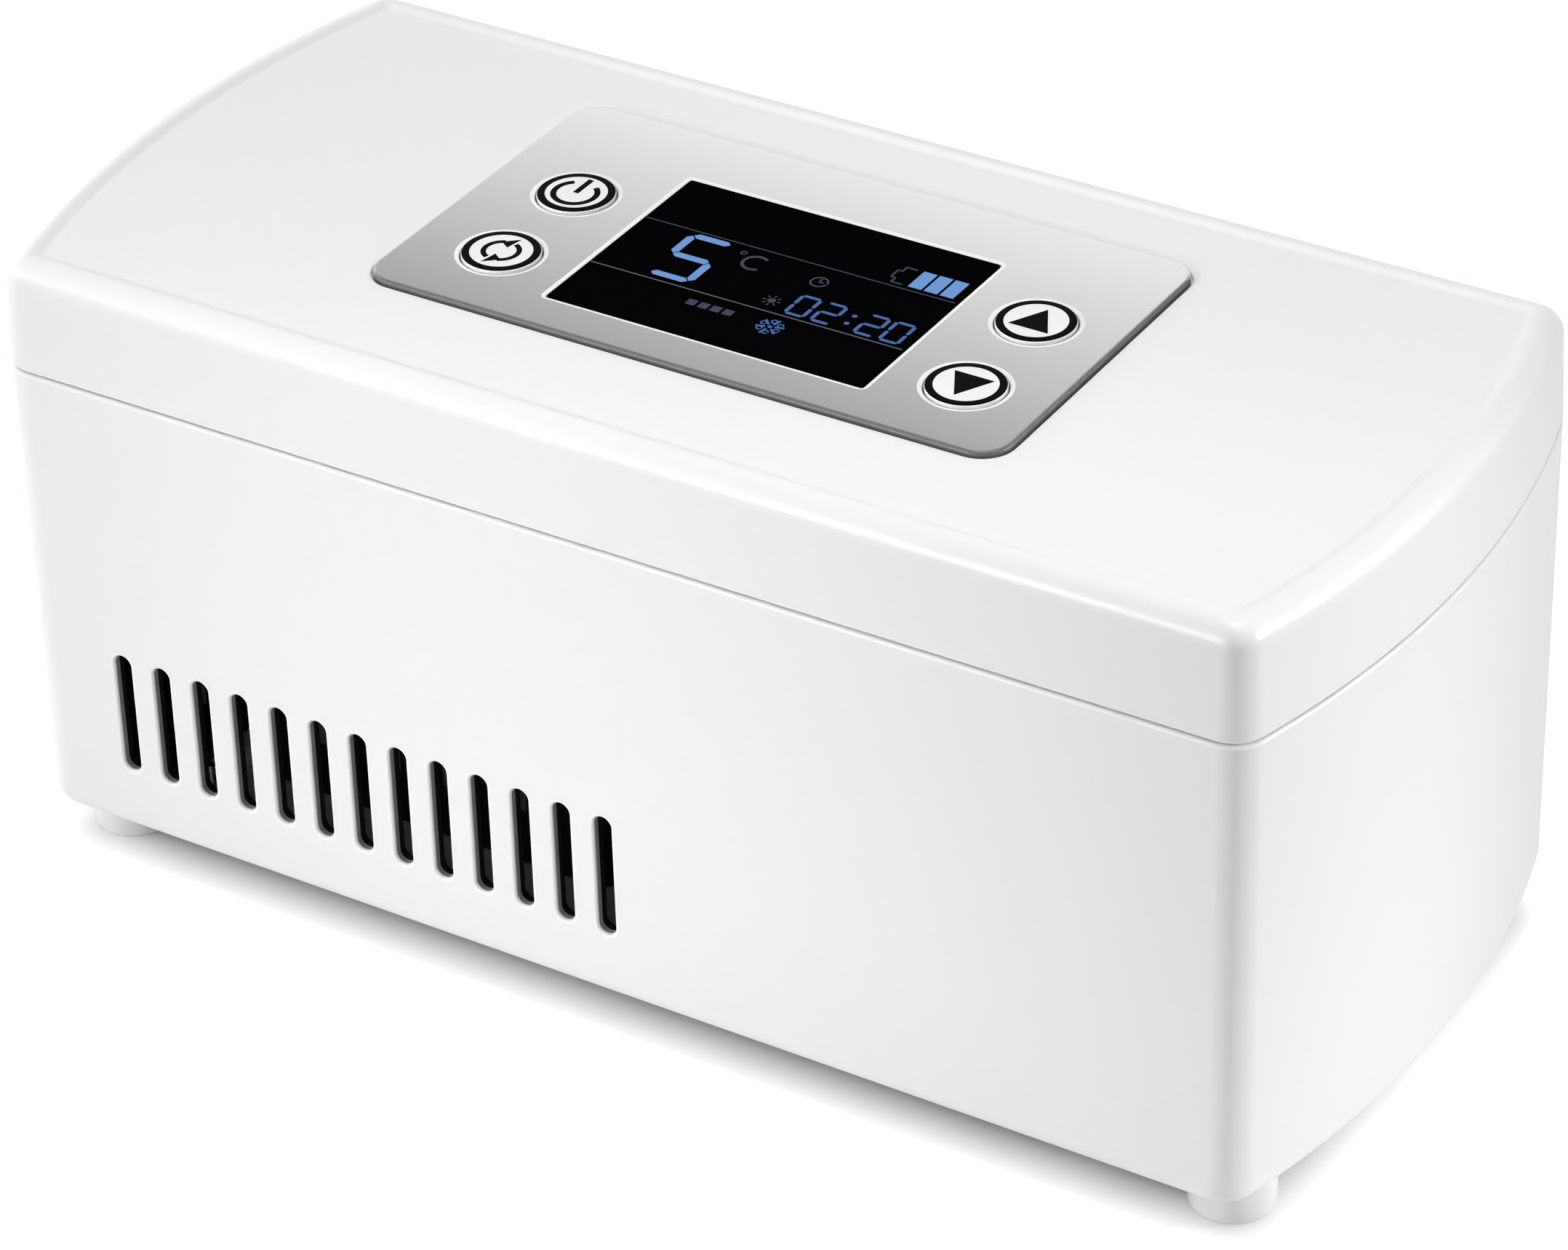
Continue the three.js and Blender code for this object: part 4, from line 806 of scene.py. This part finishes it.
def make_lid_gasket():
    low, high, _ = box("lid_gasket")
    ring = lower_edge(low.z, GASKET_EDGE, 4, GASKET_OUTER) + upper_edge(high.z, GASKET_EDGE, 4, GASKET_OUTER)
    ring += [(GASKET_INNER + GASKET_OUTER - inset, z) for inset, z in reversed(ring)]
    gasket = loft("lid_gasket_ring", CHAMBER_OUTLINE, ring, seal_rubber, closed=True)
    dressed(gasket, "lid", "seal_rubber", "lid_gasket")


# Flat marks on the display and the buttons
def prisms(name, polygons, z0, z1, *materials):
    points, faces = [], []
    for polygon in polygons:
        start, count = len(points), len(polygon)
        points += [(x, y, z) for z in (z0, z1) for x, y in polygon]
        low = list(range(start, start + count))
        high = [i + count for i in low]
        faces += [tuple(low), tuple(high)]
        faces += [(low[i], low[(i + 1) % count], high[(i + 1) % count], high[i]) for i in range(count)]
    return make(name, points, faces, *materials)


def bar(x0, y0, x1, y1, width, tip=0.0):
    """A stroke between two points, with pointed ends of the given length."""
    run, half = hypot(x1 - x0, y1 - y0), width / 2
    ux, uy = (x1 - x0) / run, (y1 - y0) / run
    if tip:
        shape = [(0, 0), (tip, half), (run - tip, half), (run, 0), (run - tip, -half), (tip, -half)]
    else:
        shape = [(0, half), (run, half), (run, -half), (0, -half)]
    return [(x0 + ux * u - uy * v, y0 + uy * u + ux * v) for u, v in reversed(shape)]


def band(x, y, radius, width, start, end, steps=40):
    outer = arc(x, y, radius + width / 2, radians(start), radians(end), steps)
    inner = arc(x, y, radius - width / 2, radians(end), radians(start), steps)
    return outer + inner


def disc(x, y, radius, steps=20):
    return arc(x, y, radius, 0, 2 * pi, steps)[:-1]


# The strokes of each figure, and the gap between strokes as a share of their width
SEGMENTS, SEGMENT_GAP_SHARE = {"0": "abcdef", "2": "abged", "5": "afgcd"}, 0.12


def digit(character, x, y, length, height, width):
    """A seven-segment figure with its lower left corner at (x, y)."""
    gap = width * SEGMENT_GAP_SHARE
    low, mid, high = y + width / 2, y + height / 2, y + height - width / 2
    left, right = x + width / 2, x + length - width / 2
    ends = {name: (left, row, right, row) for name, row in (("a", high), ("g", mid), ("d", low))}
    for names, side in (("ef", left), ("cb", right)):
        ends |= {names[0]: (side, low, side, mid), names[1]: (side, mid, side, high)}
    strokes = []
    for segment in SEGMENTS[character]:
        x0, y0, x1, y1 = ends[segment]
        dx, dy = (gap, 0) if y0 == y1 else (0, gap)
        strokes.append(bar(x0 + dx, y0 + dy, x1 - dx, y1 - dy, width, width / 2))
    return strokes


# The fan sign's hub, its blades' start, and its loops' place, size and stroke, each as a share
HUB_SHARE, BLADE_SHARE, LOOP_SHARE, LOOP_SIZE_SHARE, LOOP_STROKE_SHARE = 0.16, 0.32, 0.72, 0.2, 0.6
FLAKE_TURN, LOOP_TURN, LOOP_ARC = 15, 0.36, 330


def flake(x, y, radius, width):
    """Six blades around a hub, for the fan sign."""
    strokes = [disc(x, y, radius * HUB_SHARE, 12)]
    for i in range(6):
        a = radians(60 * i + FLAKE_TURN)
        start, loop, out = BLADE_SHARE * radius, LOOP_SHARE * radius, a + LOOP_TURN
        strokes.append(bar(x + start * cos(a), y + start * sin(a),
                           x + radius * cos(a), y + radius * sin(a), width))
        strokes.append(band(x + loop * cos(out), y + loop * sin(out), LOOP_SIZE_SHARE * radius,
                            width * LOOP_STROKE_SHARE, 0, LOOP_ARC, 12))
    return strokes


# Signs on the display, from its middle. Figures: left, low, length, height and stroke
BIG_FIGURE = (-16.5, -6.5, 7.2, 12.2, 1.2)
CLOCK_FIGURES, CLOCK_SIZE = (("0", 5.4), ("2", 9.4), ("2", 16.0), ("0", 19.9)), (-6.9, 3.3, 5.5, 0.54)
COLON_X, COLON_PLACES, COLON_RADIUS = 14.4, (-3.1, -5.2), 0.38
FAN_SIGN = (6.0, -10.9, 2.0, 0.34)

# Lines across: half their length, and the place and stroke of each
LINE_HALF, LOW_LINE, HIGH_LINE = 24.3, (-7.6, 0.22), (6.3, 0.2)

# Battery: its cells, and its outline as the two ends of each stroke
CELL_PLACES, CELL_Y, CELL_LENGTH, CELL_HEIGHT = (16.5, 18.95, 21.4), 9.4, 2.05, 4.5
BATTERY_STROKE, BATTERY_OUTLINE = 0.3, (
    (15.6, 11.5, 13.9, 11.5), (13.9, 11.65, 13.9, 10.3), (13.9, 10.3, 13.2, 10.3), (13.2, 10.45, 13.2, 8.4),
    (13.2, 8.4, 13.9, 8.4), (13.9, 8.4, 13.9, 7.2), (13.9, 7.2, 15.6, 7.2),
)

# Degrees and letter of the unit, and the dial: place, radius, stroke and turn of each ring
DEGREE_RING, UNIT_RING, DIAL_RING = (-7.4, 4.3, 0.4, 0.24, 0, 345), (-4.6, 2.6, 1.75, 0.5, 50, 310), (
    5.6, 2.4, 1.2, 0.3, 0, 350)
DIAL_HANDS, HAND_STROKE = ((5.6, 2.3, 5.6, 3.25), (5.5, 2.4, 6.25, 2.4)), 0.28
DASH_COUNT, DASH_START, DASH_PITCH, DASH_LENGTH, DASH_Y, DASH_STROKE = 4, -7.2, 1.9, 1.4, -10.4, 1.4
SUN_X, SUN_Y, SUN_RADIUS, RAY_START, RAY_END, RAY_STROKE, RAY_COUNT = 2.6, -4.9, 0.6, 0.85, 1.35, 0.24, 8

# Signs are this deep in their face and stand this high above it
SIGN_DEPTH, SIGN_HEIGHT, GLASS_BEVEL, GLASS_CORNER = 0.02, 0.015, 0.08, 0.3


def across(y, stroke):
    return [bar(-LINE_HALF, y, LINE_HALF, y, stroke)]


def sun_sign():
    rays = [disc(SUN_X, SUN_Y, SUN_RADIUS, 16)]
    for a in (2 * pi * i / RAY_COUNT for i in range(RAY_COUNT)):
        rays.append(bar(SUN_X + RAY_START * cos(a), SUN_Y + RAY_START * sin(a),
                        SUN_X + RAY_END * cos(a), SUN_Y + RAY_END * sin(a), RAY_STROKE))
    return rays


def clock_signs():
    strokes = []
    low, length, height, stroke = CLOCK_SIZE
    for character, x in CLOCK_FIGURES:
        strokes += digit(character, x, low, length, height, stroke)
    return strokes + [disc(COLON_X, y, COLON_RADIUS, 12) for y in COLON_PLACES]


def dim_signs():
    unit = [band(*DEGREE_RING, 20), band(*UNIT_RING, 24)]
    battery = [bar(*ends, BATTERY_STROKE) for ends in BATTERY_OUTLINE]
    starts = [DASH_START + DASH_PITCH * i for i in range(DASH_COUNT)]
    dashes = [bar(x, DASH_Y, x + DASH_LENGTH, DASH_Y, DASH_STROKE) for x in starts]
    dial = [band(*DIAL_RING, 28)] + [bar(*ends, HAND_STROKE) for ends in DIAL_HANDS]
    return unit + battery + dashes + dial + sun_sign() + across(*HIGH_LINE)


def make_display():
    low, top = window_low.z, window_high.z
    outline = rounded(WINDOW_SIZE.x, WINDOW_SIZE.y, GLASS_CORNER, window_middle.x, window_middle.y, 3)
    levels = [(0, low), (0, top - GLASS_BEVEL), (GLASS_BEVEL, top)]
    window = loft("display_glass", outline, levels, display_black)
    dressed(window, "lid", "display_black", "display_window")
    cells = [bar(x, CELL_Y, x + CELL_LENGTH, CELL_Y, CELL_HEIGHT) for x in CELL_PLACES]
    groups = (
        ("readout_figures", digit("5", *BIG_FIGURE) + cells, blue_glow),
        ("readout_clock", clock_signs() + flake(*FAN_SIGN), clock_glow),
        ("readout_line_low", across(*LOW_LINE), line_glow),
        ("readout_marks", dim_signs(), dim_glow),
    )
    for name, polygons, material in groups:
        shifted = [[(x + window_middle.x, y + window_middle.y) for x, y in polygon] for polygon in polygons]
        sign = prisms(name, shifted, top - SIGN_DEPTH, top + SIGN_HEIGHT, material)
        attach(sign, "lid")


# Signs on the buttons: a ring's place, radius, stroke and turn, and a stroke's ends and width
POWER_RING, POWER_STROKE = (0, -0.25, 3.05, 0.85, 125, 415), (0, -0.2, 0, 3.9, 0.85)
MODE_RADIUS, MODE_STROKE, MODE_TURNS = 2.45, 0.75, ((110, 250), (290, 430))
HEAD_PLACES, HEAD_SHARES = (78, 258), ((0, 0.45), (0, 1.6), (0.75, 1))
ARROW_HALF, ARROW_FOOT, ARROW_TOP = 3.0, -2.3, 3.2


def symbol(use):
    if use == "power":
        return [band(*POWER_RING), bar(*POWER_STROKE)]
    if use == "mode":
        rings = [band(0, 0, MODE_RADIUS, MODE_STROKE, *turn) for turn in MODE_TURNS]
        for a in map(radians, HEAD_PLACES):
            reaches = [(a + turn, MODE_RADIUS * share) for turn, share in HEAD_SHARES]
            rings.append([(reach * cos(angle), reach * sin(angle)) for angle, reach in reaches])
        return rings
    side = 1 if use == "up" else -1
    return [[(-ARROW_HALF, ARROW_FOOT * side), (ARROW_HALF, ARROW_FOOT * side), (0, ARROW_TOP * side)]]


# Buttons: the black ring's width, the round rim and the step of the stem below the flange
RING_WIDTH, BUTTON_RIM, STEM_STEP = 1.15, 0.25, 1.5


def make_button(use):
    low, high, place = box(f"button_{use}")
    top, flange, stem = high.z, SKIN - FIT, BUTTON_RADIUS - STEM_STEP
    under = flange - BUTTON_FLANGE_THICK
    profile = [(stem, low.z), (stem, under), (-BUTTON_FLANGE, under), (-BUTTON_FLANGE, flange), (0, flange)]
    profile += upper_edge(top, BUTTON_RIM, 4)
    ring_level = len(profile) - 1
    black = range(ring_level - 2, ring_level + 1)
    profile.append((RING_WIDTH, top))
    key = loft(f"button_{use}_cap", circle(BUTTON_RADIUS, place, 96), profile, button_white, black_ink,
               finish=lambda level: int(level in black))
    dressed(key, f"{use}_key", "button_white", f"button_{use}")
    polygons = [[(place.x + u, place.y + v) for u, v in polygon] for polygon in symbol(use)]
    mark = prisms(f"button_{use}_symbol", polygons, top - SIGN_DEPTH, top + SIGN_HEIGHT, black_ink)
    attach(mark, f"{use}_key")


# Fan: its side, corner and bore, the hub with its plate, the struts, and the post that carries the rotor
FAN_SIDE, FAN_CORNER, FAN_EDGE, FAN_BORE, BORE_BEVEL, BORE_FLARE = 60, 4, 0.5, 28.6, 0.5, 0.8
FAN_HUB, HUB_PLATE, HUB_EDGE, STRUT_LONG, STRUT_WIDE, STRUT_INSET = 12.5, 2, 0.4, 29.3, 1.5, 0.01
POST_RADIUS, POST_ROOT, POST_HEIGHT, POST_BEVEL = 2.8, 0.5, 7, 0.2


def make_fan_frame():
    low, high, place = box("fan_frame")
    plate = low.z + HUB_PLATE
    square = rounded(FAN_SIDE, FAN_SIDE, FAN_CORNER, place.x, place.y)
    body = loft("fan_frame_housing", square, slab_levels(low.z, high.z, FAN_EDGE), black_plastic)
    carve(body, circle(FAN_BORE, place, 96), [
        *funnel(low.z, BORE_BEVEL), *flare(high.z, BORE_FLARE), (-BORE_FLARE, high.z + OVERRUN)])
    extend(body, circle(FAN_HUB, place), slab_levels(low.z, plate, HUB_EDGE))
    for strut in cross(place, STRUT_LONG, STRUT_WIDE, low.z + STRUT_INSET, plate - STRUT_INSET):
        joined(body, strut)
    extend(body, circle(POST_RADIUS, place, 40), [
        (0, plate - POST_ROOT), (0, plate + POST_HEIGHT - POST_BEVEL), (POST_BEVEL, plate + POST_HEIGHT)])
    cut_screw_holes(body, "fan", low.z, high.z)
    dressed(body, "case", "black_plastic", "fan_frame")


# Rotor: blades from a root in the hub to the tip, with their pitch and chord there, and the sweep between
BLADE_COUNT, BLADE_STEPS, SECTION_STEPS, BLADE_ROOT, BLADE_TIP = 7, 8, 8, 0.8, 27.7
ROOT_PITCH, TIP_PITCH, ROOT_CHORD, TIP_CHORD, BLADE_SWEEP = 40, 32, 11.0, 12.6, 9
BLADE_BOW, BLADE_THICK, EDGE_THICK_SHARE, EDGE_SHARE = 1.1, 1.1, 0.35, 0.1
ROTOR_INSET, ROTOR_EDGE, ROTOR_CROWN, ROTOR_BORE, BORE_DEPTH = 4, 0.5, 1.2, 3.2, 7


def blade_section(pitch, chord):
    """A bowed section, thinner at its two edges, as (across, rise)."""
    section = []
    for side in (1, -1):
        for j in range(SECTION_STEPS + 1):
            t = j / SECTION_STEPS if side == 1 else 1 - j / SECTION_STEPS
            swell = sin(pi * min(max(t, EDGE_SHARE), 1 - EDGE_SHARE))
            depth = side * BLADE_THICK / 2 * (EDGE_THICK_SHARE + (1 - EDGE_THICK_SHARE) * swell)
            u, v = (t - 0.5) * chord, BLADE_BOW * 4 * t * (1 - t) + depth
            section.append((u * cos(pitch) - v * sin(pitch), u * sin(pitch) + v * cos(pitch)))
    return section


def fan_blade(place, turn):
    points = []
    root = FAN_HUB - BLADE_ROOT
    for step in range(BLADE_STEPS + 1):
        share = step / BLADE_STEPS
        radius = root + (BLADE_TIP - root) * share
        pitch = radians(ROOT_PITCH + (TIP_PITCH - ROOT_PITCH) * share)
        chord = ROOT_CHORD + (TIP_CHORD - ROOT_CHORD) * share
        for sideways, rise in blade_section(pitch, chord):
            angle = turn + radians(BLADE_SWEEP) * share + sideways / radius
            points.append((place.x + radius * cos(angle), place.y + radius * sin(angle), place.z + rise))
    size = 2 * (SECTION_STEPS + 1)
    faces = [(a * size + j, a * size + (j + 1) % size, (a + 1) * size + (j + 1) % size, (a + 1) * size + j)
             for a in range(BLADE_STEPS) for j in range(size)]
    faces += [tuple(range(size)), tuple(range(BLADE_STEPS * size, (BLADE_STEPS + 1) * size))]
    return make("blade", points, faces)


def make_fan_rotor():
    low, high, place = box("fan_rotor")
    levels = [(ROTOR_INSET, low.z), *lower_edge(low.z, ROTOR_EDGE, 3), *upper_edge(high.z, ROTOR_CROWN, 5)]
    rotor = loft("fan_rotor_hub", circle(FAN_HUB, place), levels, black_plastic)
    cut(rotor, drill(place, ROTOR_BORE, low.z - OVERRUN, low.z + BORE_DEPTH, 40))
    for i in range(BLADE_COUNT):
        joined(rotor, fan_blade(place, 2 * pi * i / BLADE_COUNT))
    dressed(rotor, "fan", "black_plastic", "fan_rotor")


# Battery cells: the wrap's radius, its rounded start, and the profile at the far end, from that end
CELL_RADIUS, CELL_START = 9.1, ((3.0, 0.15), (1.6, 0), (0.5, 0), (0, 0.5))
CELL_END = (
    (0, 3.4), (0.35, 2.9), (0.35, 2.3), (0, 1.9), (0, 1.3), (0.4, 0.9), (2.2, 0.9), (2.4, 1.1), (5.6, 1.1),
    (6.1, 0.9), (6.1, 0.2), (6.4, 0),
)
CELL_WRAP_BANDS = range(1, 11)


def make_battery_cell(number):
    name = f"battery_cell_{number}"
    low, high, place = box(name)
    levels = [(inset, low.x + rise) for inset, rise in CELL_START]
    levels += [(inset, high.x - drop) for inset, drop in CELL_END]
    cell = loft(f"{name}_body", circle(CELL_RADIUS), levels, cell_wrap, steel,
                place=along_x(0, place.y, place.z), finish=lambda level: int(level not in CELL_WRAP_BANDS))
    dressed(cell, "case", "cell_wrap", name)


# Floor, light and background
def light_path_mix(tree, first, second):
    """Shows the second shader to the camera and to reflections, and the first to everything else."""
    path = added(tree, "LightPath")
    seen = path.outputs["Is Camera Ray"]
    for ray in ("Is Glossy Ray", "Is Transmission Ray"):
        most = added(tree, "Math")
        most.operation = "MAXIMUM"
        link(tree, seen, most, 0)
        link(tree, path.outputs[ray], most, 1)
        seen = most.outputs["Value"]
    mix = added(tree, "MixShader")
    for socket, output in enumerate((seen, first, second)):
        link(tree, output, mix, socket)
    return mix.outputs["Shader"]


def area_light(name, place, target, size, power, spread):
    data = bpy.data.lights.new(name, "AREA")
    data.shape, data.size, data.size_y, data.energy = "RECTANGLE", size[0], size[1], power
    data.spread = radians(spread)
    lamp = bpy.data.objects.new(name, data)
    lamp.location = place
    lamp.rotation_euler = (Vector(place) - Vector(target)).to_track_quat("Z", "Y").to_euler()
    scene.collection.objects.link(lamp)


def way_off(tree):
    """How far a place on the floor lies outside a box that is drawn in from the case's sides."""
    value = added(tree, "TexCoord").outputs["Object"]
    inner = ((LENGTH / 2 - LIFT_INSET[0]) * MM, (WIDTH / 2 - LIFT_INSET[1]) * MM, 1)
    for operation, other in (("ABSOLUTE", None), ("SUBTRACT", inner), ("MAXIMUM", (0, 0, 0))):
        value = vector_math(tree, operation, value, other)["Vector"]
    return vector_math(tree, "LENGTH", value)["Value"]


def matt(tree, shade):
    return added(tree, "BsdfDiffuse", Color=(shade, shade, shade, 1)).outputs["BSDF"]


def set_stage():
    floor = loft("floor", circle(FLOOR_RADIUS, steps=96), [(0, -FLOOR_THICK), (0, 0)])
    material = bpy.data.materials.new("pale_floor")
    material.use_nodes = True
    tree = material.node_tree
    # Painted shadow: the floor's glow to the eye is held low under the case, so its shadow shows darker
    # there.
    lit = added(tree, "Emission")
    link(tree, ramp(tree, way_off(tree), 0, LIFT_REACH * MM, *FLOOR_LIFT), lit, "Strength")
    both = added(tree, "AddShader")
    link(tree, matt(tree, SEEN_SHADE), both, 0)
    link(tree, lit.outputs["Emission"], both, 1)
    seen = light_path_mix(tree, matt(tree, FLOOR_SHADE), both.outputs["Shader"])
    link(tree, seen, tree.nodes["Material Output"], "Surface")
    floor.data.materials.append(material)

    world = bpy.data.worlds.new("studio")
    scene.world = world
    world.use_nodes = True
    tree = world.node_tree
    tree.nodes.clear()
    out = added(tree, "OutputWorld")
    sky, backdrop = (
        added(tree, "Background", Color=(1, 1, 1, 1), Strength=strength).outputs["Background"]
        for strength in (SKY, 1.0))
    seen = light_path_mix(tree, sky, backdrop)
    link(tree, seen, out, "Surface")
    for name, lamp in LAMPS.items():
        area_light(name, *lamp)
    scene.view_settings.view_transform = "Standard"


# The floor's size, its colour to the object and to the eye, and the strength of the sky
FLOOR_RADIUS, FLOOR_THICK, FLOOR_SHADE, SEEN_SHADE, SKY = 3000, 1, 0.75, 0.4, 0.33

# The floor's glow to the eye under the case and past it, and where and over what stretch it rises; the low
# glow under the case is a painted shadow
FLOOR_LIFT, LIFT_INSET, LIFT_REACH = (0.08, 0.84), (12.5, 9.5), 8.5

# Each lamp's place, target, size, power and spread
LAMPS = {
    "top": ((0, 0.1, 1), (0, 0, 0.05), (0.4, 0.3), 3.3, 180),
    "left": ((-0.85, -0.55, 0.45), (0, 0, 0.05), (0.5, 0.5), 3.1, 180),
    "front": ((-0.27, -0.8, 0.3), (-0.008, -0.047, 0.045), (0.15, 0.3), 0.09, 24),
    "right": ((0.8, 0.38, 0.25), (0.1, -0.038, 0.045), (0.1, 0.3), 0.078, 12),
    "rear": ((-1, 0.45, 0.3), (0, 0, 0.05), (0.5, 0.5), 1.2, 180),
}


# CAD nodes that keep their shape get a finish by the start of their name
FINISHES = {
    "chamber_insulation": insulation_foam, "lid_foam": insulation_foam, "cold_plate": milled_aluminium,
    "peltier_module": ceramic, "heat_sink": black_anodised, "clamp_screw": steel, "temperature_sensor": steel,
    "battery_holder": black_plastic, "tact_switch": black_plastic, "lcd_module": lcd_frame,
    "power_board": circuit_board, "control_board": circuit_board,
}


def finish_cad_nodes():
    for name, node in nodes.items():
        for start, finish in FINISHES.items():
            if name.startswith(start):
                for held in node.material_slots:
                    held.material = finish


place_camera()
finish_cad_nodes()
make_case_shell()
make_base_plate()
make_lid_cover()
make_control_panel()
make_display()
for key_use in USES:
    make_button(key_use)
for spot in CORNERS:
    make_foot(spot)
    make_screw(f"base_screw_{spot}", "case")
    make_screw(f"fan_screw_{spot}", "case")
    make_screw(f"lid_screw_{spot}", "lid")
make_power_inlet()
for hinge_side in SIDES:
    make_hinge_pin(hinge_side)
    make_magnet(f"case_magnet_{hinge_side}", "case")
    make_magnet(f"lid_magnet_{hinge_side}", "lid")
make_deck_bezel()
make_chamber_liner()
make_lid_liner()
make_lid_gasket()
make_fan_frame()
make_fan_rotor()
for cell in (1, 2, 3):
    make_battery_cell(cell)
set_stage()
